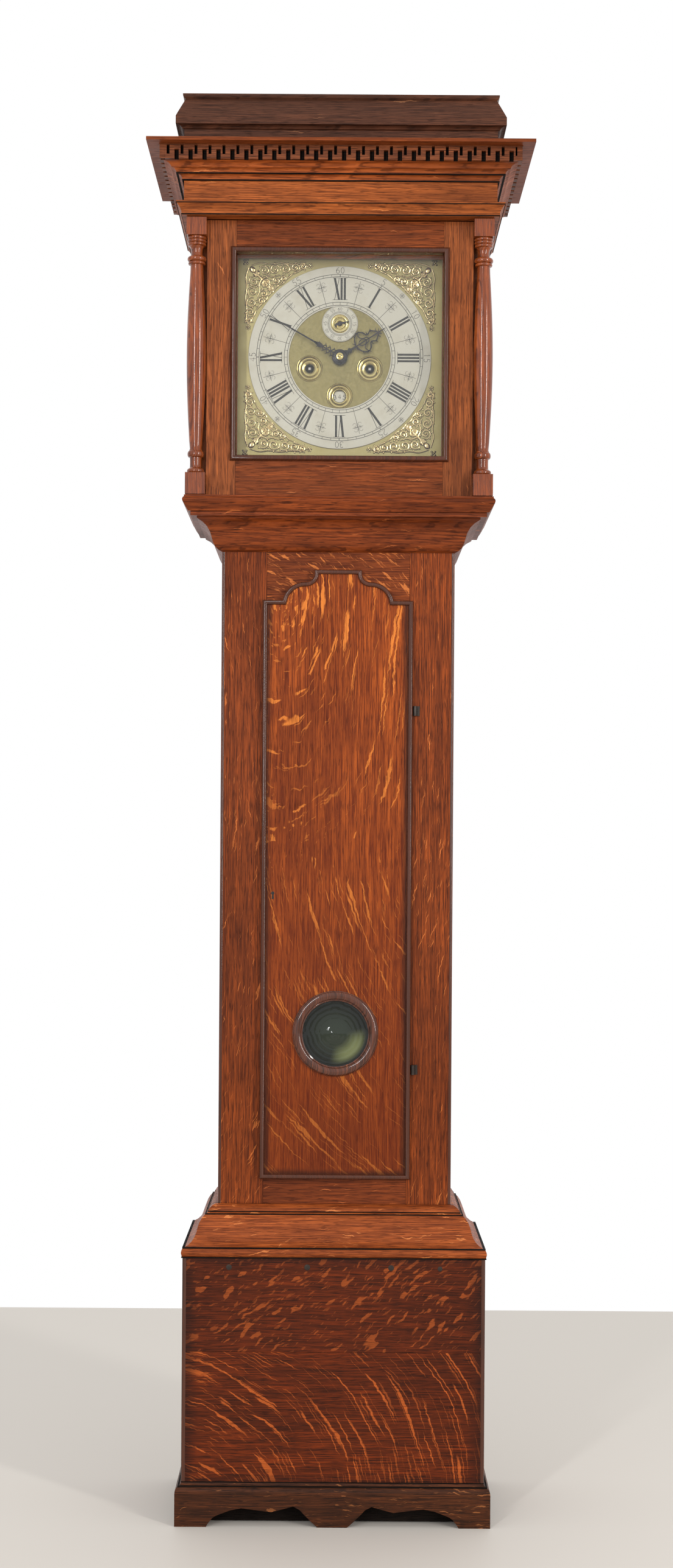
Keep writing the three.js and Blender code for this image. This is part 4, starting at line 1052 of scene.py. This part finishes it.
def hour_hand():
    angle, face, back = 57.0, -43.65, -42.25
    at = dict(face=face, back=back)
    neck = smooth_path([(0, 9), (0, 12.5), (0, 16.0), (0, 19.5), (0, 23.0), (0, 28.0)], 5)
    swell = [5.0, 6.2, 7.6, 8.4, 8.6, 8.0, 6.4, 5.0, 4.2, 4.6, 5.8, 7.0, 7.6, 7.2, 6.0, 4.6, 3.6, 3.0, 2.8]
    swell += [2.6] * (len(neck) - len(swell))
    spire = [(0, 27.0), (0, 48.0), (0, 66.0), (0, 79.0)]
    parts = [stroke(at_hour(angle, neck), swell, **at),
             stroke(at_hour(angle, spire), [1.6, 1.3, 2.2, 0.5], **at)]
    outer = smooth_path([(0.4, 28.5), (6.5, 30.0), (12.5, 34.0), (15.6, 40.5), (12.0, 46.5), (6.8, 49.0),
                         (6.2, 53.0), (8.4, 57.0), (5.6, 61.5), (1.6, 66.0)], 6)
    parts += both_sides(angle, outer, [1.5 + 0.7 * sin(i * 0.32) ** 2 for i in range(len(outer))], **at)
    web = smooth_path([(0.3, 50.5), (3.6, 47.0), (4.6, 42.5), (9.4, 38.4), (14.6, 40.4)], 6)
    parts += both_sides(angle, web, 1.2, **at)
    lower = smooth_path([(0.3, 33.0), (3.2, 36.0), (4.4, 40.8), (2.2, 44.6), (0.2, 46.0)], 6)
    parts += both_sides(angle, lower, 1.1, **at)
    for tip, root in (((18.2, 42.8), (14.6, 40.4)), ((17.4, 37.2), (14.9, 38.6)),
                      ((14.6, 31.8), (11.6, 33.4)), ((10.4, 51.4), (6.6, 50.2)), ((11.4, 58.6), (8.0, 57.0)),
                      ((4.8, 69.6), (1.0, 67.4)), ((7.4, 66.0), (3.6, 63.6)), ((6.2, 25.6), (2.0, 28.6))):
        parts += both_sides(angle, [root, ((tip[0] + root[0]) / 2, (tip[1] + root[1]) / 2 + 0.4), tip],
                            [1.6, 1.1, 0.4], **at)
    collar = [(5.4, back), (5.4, face - 0.2), (7.4, face - 0.5), (9.0, face - 0.2), (10.0, face),
              (11.2, face), (11.4, face + 0.3), (11.4, back)]
    parts.append(turned_ring(collar, (0, 0, DIAL_Z), "Y", 64))
    sleeve = [(3.6, -20), (3.6, back + 0.6), (5.4, back + 0.6), (5.4, -20)]
    parts.append(turned_ring(sleeve, (0, 0, DIAL_Z), "Y", 40))
    piece("pierced_hour_hand", merged(*parts), "blued_steel", "hour_pipe", "blued_steel", "hour_hand")
    wheel = toothed_ring((0.0, DIAL_Z), 5.0, 22.6, 24.0, 72, -20.0, -18.0)
    piece("hour_wheel", wheel, "turned_brass", "hour_pipe", "brass", smooth=False)


def minute_hand():
    angle, face, back = 299.7, -47.45, -46.25
    at = dict(face=face, back=back)
    blade = [(0, 38.0), (0, 60.0), (0, 90.0), (0, 118.5)]
    parts = [stroke(at_hour(angle, blade), [2.4, 2.0, 1.5, 0.5], **at)]
    leaf = smooth_path([(0, 28.0), (0, 31.5), (0, 34.5), (0, 38.5), (0, 42.0)], 5)
    shape = [3.0 + 3.6 * sin(pi * min(1.0, i / (len(leaf) - 1) * 1.15)) for i in range(len(leaf))]
    parts.append(stroke(at_hour(angle, leaf), shape, **at))
    parts.append(stroke(at_hour(angle, [(0, 7.0), (0, 18.0), (0, 29.0)]), [2.2, 1.5, 1.6], **at))
    twist = [(1.0, 8.0), (5.2, 11.6), (1.2, 15.4), (4.8, 18.8), (1.0, 22.2), (4.0, 25.2), (1.0, 28.4)]
    parts += both_sides(angle, smooth_path(twist, 5), 1.3, **at)
    for r, u in ((11.6, 5.2), (18.8, 4.8), (25.2, 4.0), (35.0, 2.8)):
        parts += both_sides(angle, [(u - 0.6, r), (u + 0.9, r + 0.7), (u + 2.2, r + 2.0)], [1.5, 1.0, 0.4],
                            **at)
    collar = [(3.2, back), (3.2, face - 0.3), (5.2, face - 0.7), (7.0, face - 0.4), (8.4, face), (8.6, back)]
    parts.append(turned_ring(collar, (0, 0, DIAL_Z), "Y", 64))
    cannon = [(2.2, -16), (2.2, back + 0.5), (3.2, back + 0.5), (3.2, -16)]
    parts.append(turned_ring(cannon, (0, 0, DIAL_Z), "Y", 32))
    piece("pierced_minute_hand", merged(*parts), "blued_steel", "minute_arbor", "blued_steel", "minute_hand")
    collet = [(0, -46.5), (5.0, -46.5), (5.4, face - 0.7), (5.0, face - 1.4), (4.0, face - 1.7),
              (2.6, face - 1.9), (1.9, face - 2.4), (1.6, face - 3.6), (1.0, face - 4.0), (0, face - 4.1)]
    piece("hand_collet", turned(collet, (0, 0, DIAL_Z), "Y", 48), "turned_brass", "minute_arbor", "brass")
    pin = cord([(-3.6, DIAL_Z - 0.6), (0, DIAL_Z), (3.8, DIAL_Z + 0.5)], [0.45, 0.55, 0.7], [face - 2.9] * 3)
    piece("collet_pin", pin, "bright_steel", "minute_arbor", "iron")


# ---------------- movement
def toothed_ring(middle, inner, root, tip, count, y_front, y_back):
    """A wheel rim cut with teeth."""
    rings = [[], [], [], []]
    for i in range(count):
        for share, radius in ((0.0, root), (0.18, root), (0.36, tip), (0.64, tip), (0.82, root)):
            a = 2 * pi * (i + share) / count
            for ring, r, y in zip(rings, (radius, inner, inner, radius), (y_front, y_front, y_back, y_back)):
                ring.append((middle[0] + r * cos(a), y, middle[1] + r * sin(a)))
    return loft(rings, "closed")


def barrel_details(name, side, body):
    """The finer parts of a barrel: its wheel's teeth, the line's turns and fall, and the winding square."""
    x = side * WINDING_X
    rim = toothed_ring((x, WINDING_Z), 37.0, 38.7, 40.25, 96, 8.3, 11.7)
    piece(f"{name}_great_wheel_teeth", rim, "turned_brass", body, "brass", smooth=False)
    turns, pitch, line = 15, 2.6, 2.5
    coil = [(24.6, 13.0)]
    for i in range(turns):
        coil += [(25.0 + 1.6 * sin(pi * k / 5), 13.4 + i * pitch + line * k / 5) for k in range(6)]
    coil.append((24.6, 53.0))
    piece(f"{name}_line_coils", turned_ring(coil, (x, 0, WINDING_Z), "Y", 72), "gut_line", body, "gut")
    fall = cord([(side * 69.7, 1579.6), (side * 69.7, 1620.0), (side * 69.9, WINDING_Z)], [0.9] * 3,
                [34.0] * 3)
    piece(f"{name}_line_fall", fall, "gut_line", "case", "gut")
    winding_square(f"{name}_winding_square", x, body)
    # A black sleeve round the winding hole: painted shade, so the hole looks dark.
    sleeve = [(6.9, -35.2), (6.9, -12.0), (7.2, 1.8), (9.4, 1.8), (8.2, -12.0), (7.8, -35.2)]
    sleeve = turned_ring(sleeve, (x, 0, WINDING_Z), "Y", 48)
    piece(f"{name}_winding_sleeve", sleeve, "painted_shadow_black", "case", "iron")


def hood_mask():
    """The frame inside the hood that closes the gap between its door and the dial."""
    front, back, lap = -51, -43.5, 1.0
    top = span("hood_frieze")[0].z - 2.0
    bottom = GLASS_BOTTOM - 55.0
    wide = span("hood_side_right")[0].x - 0.6
    stile = block(GLASS_HALF - lap, wide, front, back, GLASS_BOTTOM + lap, GLASS_TOP - lap)
    rails = [block(-wide, wide, front, back, GLASS_TOP - lap, top),
             block(-wide, wide, front, back, bottom, GLASS_BOTTOM + lap),
             block(-wide - 1.7, wide + 1.7, front, back, top + 2.5, top + 20),
             block(-wide, wide, front + 0.5, back - 0.5, top - 1, top + 3)]
    piece("hood_mask", merged(stile, mirrored(stile), *rails), "oak_hood_level", "hood", "oak_case",
          smooth=False)


def side_windows():
    """The glazed windows in the hood's sides."""
    z0, z1, y0, y1 = 1590.0, 1785.0, 0.0, 90.0
    lip = [(0.4, 213.4), (-0.2, 214.6), (-2.0, 215.0), (-3.6, 214.2), (-4.4, 212.6), (-4.4, 203.6),
           (0.4, 203.6)]
    points, faces = moulded([(y1, z0), (y1, z1), (y0, z1), (y0, z0)], lip)
    right = [(y - 2.2, x, z) for x, y, z in points], [list(f)[::-1] for f in faces]
    piece("side_window_frames", merged(right, mirrored(right)), "oak_bead", "hood", "oak_case")
    pane = block(204.2, 206.2, y0 + 1.0, y1 - 1.0, z0 + 1.0, z1 - 1.0)
    panes = merged(pane, mirrored(pane))
    soften(piece("side_window_glass", panes, "window_glass", "hood", "clear_glass", smooth=False), 0.5, 1)


chapter_ring()
seconds_dial()
turned_well("going_winding_well", WINDING_X, WINDING_Z, 6.5)
turned_well("strike_winding_well", -WINDING_X, WINDING_Z, 6.5)
turned_well("date_window_ring", 0.0, DATE_WINDOW_Z, 8.8)
date_numbers()
spandrels()
hour_hand()
minute_hand()
barrel_details("going", 1, "going_drum")
barrel_details("strike", -1, "strike_drum")
piece("centre_wheel_teeth", toothed_ring((0.0, DIAL_Z), 27.4, 28.8, 30.25, 84, 58.8, 61.2), "turned_brass",
      "centre_arbor", "brass", smooth=False)
hood_mask()
side_windows()


# ---------------- stage, light and camera
def stage_set():
    """A plain pale floor. It ends a little behind the clock, where the white studio starts."""
    Graph("floor_paint").set(Base_Color=(0.6, 0.56, 0.51, 1), Roughness=0.6)
    far, back_edge = 7000.0, 1360.0
    corners = [(-far, -far, 0), (far, -far, 0), (far, back_edge, 0), (-far, back_edge, 0)]
    floor = mesh_object("floor", (corners, [(0, 1, 2, 3)]), "floor_paint", smooth=False)


def light(name, at, aim, size, watts, colour=(1, 1, 1)):
    data = bpy.data.lights.new(name, "AREA")
    data.shape = "RECTANGLE"
    data.size, data.size_y = size
    data.energy = watts
    data.color = colour
    obj = linked(name, data)
    obj.location = at
    obj.rotation_euler = (Vector(aim) - Vector(at)).to_track_quat("-Z", "Y").to_euler()


def lights():
    light("key", (2.3, -2.5, 1.7), (0, 0, 1.4), (0.22, 2.2), 56, (1.0, 0.99, 0.96))
    light("fill", (-1.2, -3.0, 1.9), (0, 0, 1.4), (0.14, 2.0), 34, (0.98, 0.99, 1.0))
    world = bpy.data.worlds.new("studio")
    world.use_nodes = True
    sky = world.node_tree.nodes["Background"].inputs
    sky["Color"].default_value = (1.0, 1.0, 1.0, 1)
    sky["Strength"].default_value = 1.0
    bpy.context.scene.world = world


def camera():
    data = bpy.data.cameras.new("camera")
    data.lens = 48.95
    data.sensor_width = 36
    data.shift_y = 0.0435
    data.clip_end = 50
    obj = linked("camera", data)
    distance, eye_height = 3.1, 0.9643
    obj.location = (0, FRONT * MM - distance, eye_height)
    obj.rotation_euler = (radians(90), radians(-0.375), 0)
    bpy.context.scene.camera = obj
    bpy.context.scene.view_settings.view_transform = "Standard"


stage_set()
lights()
camera()
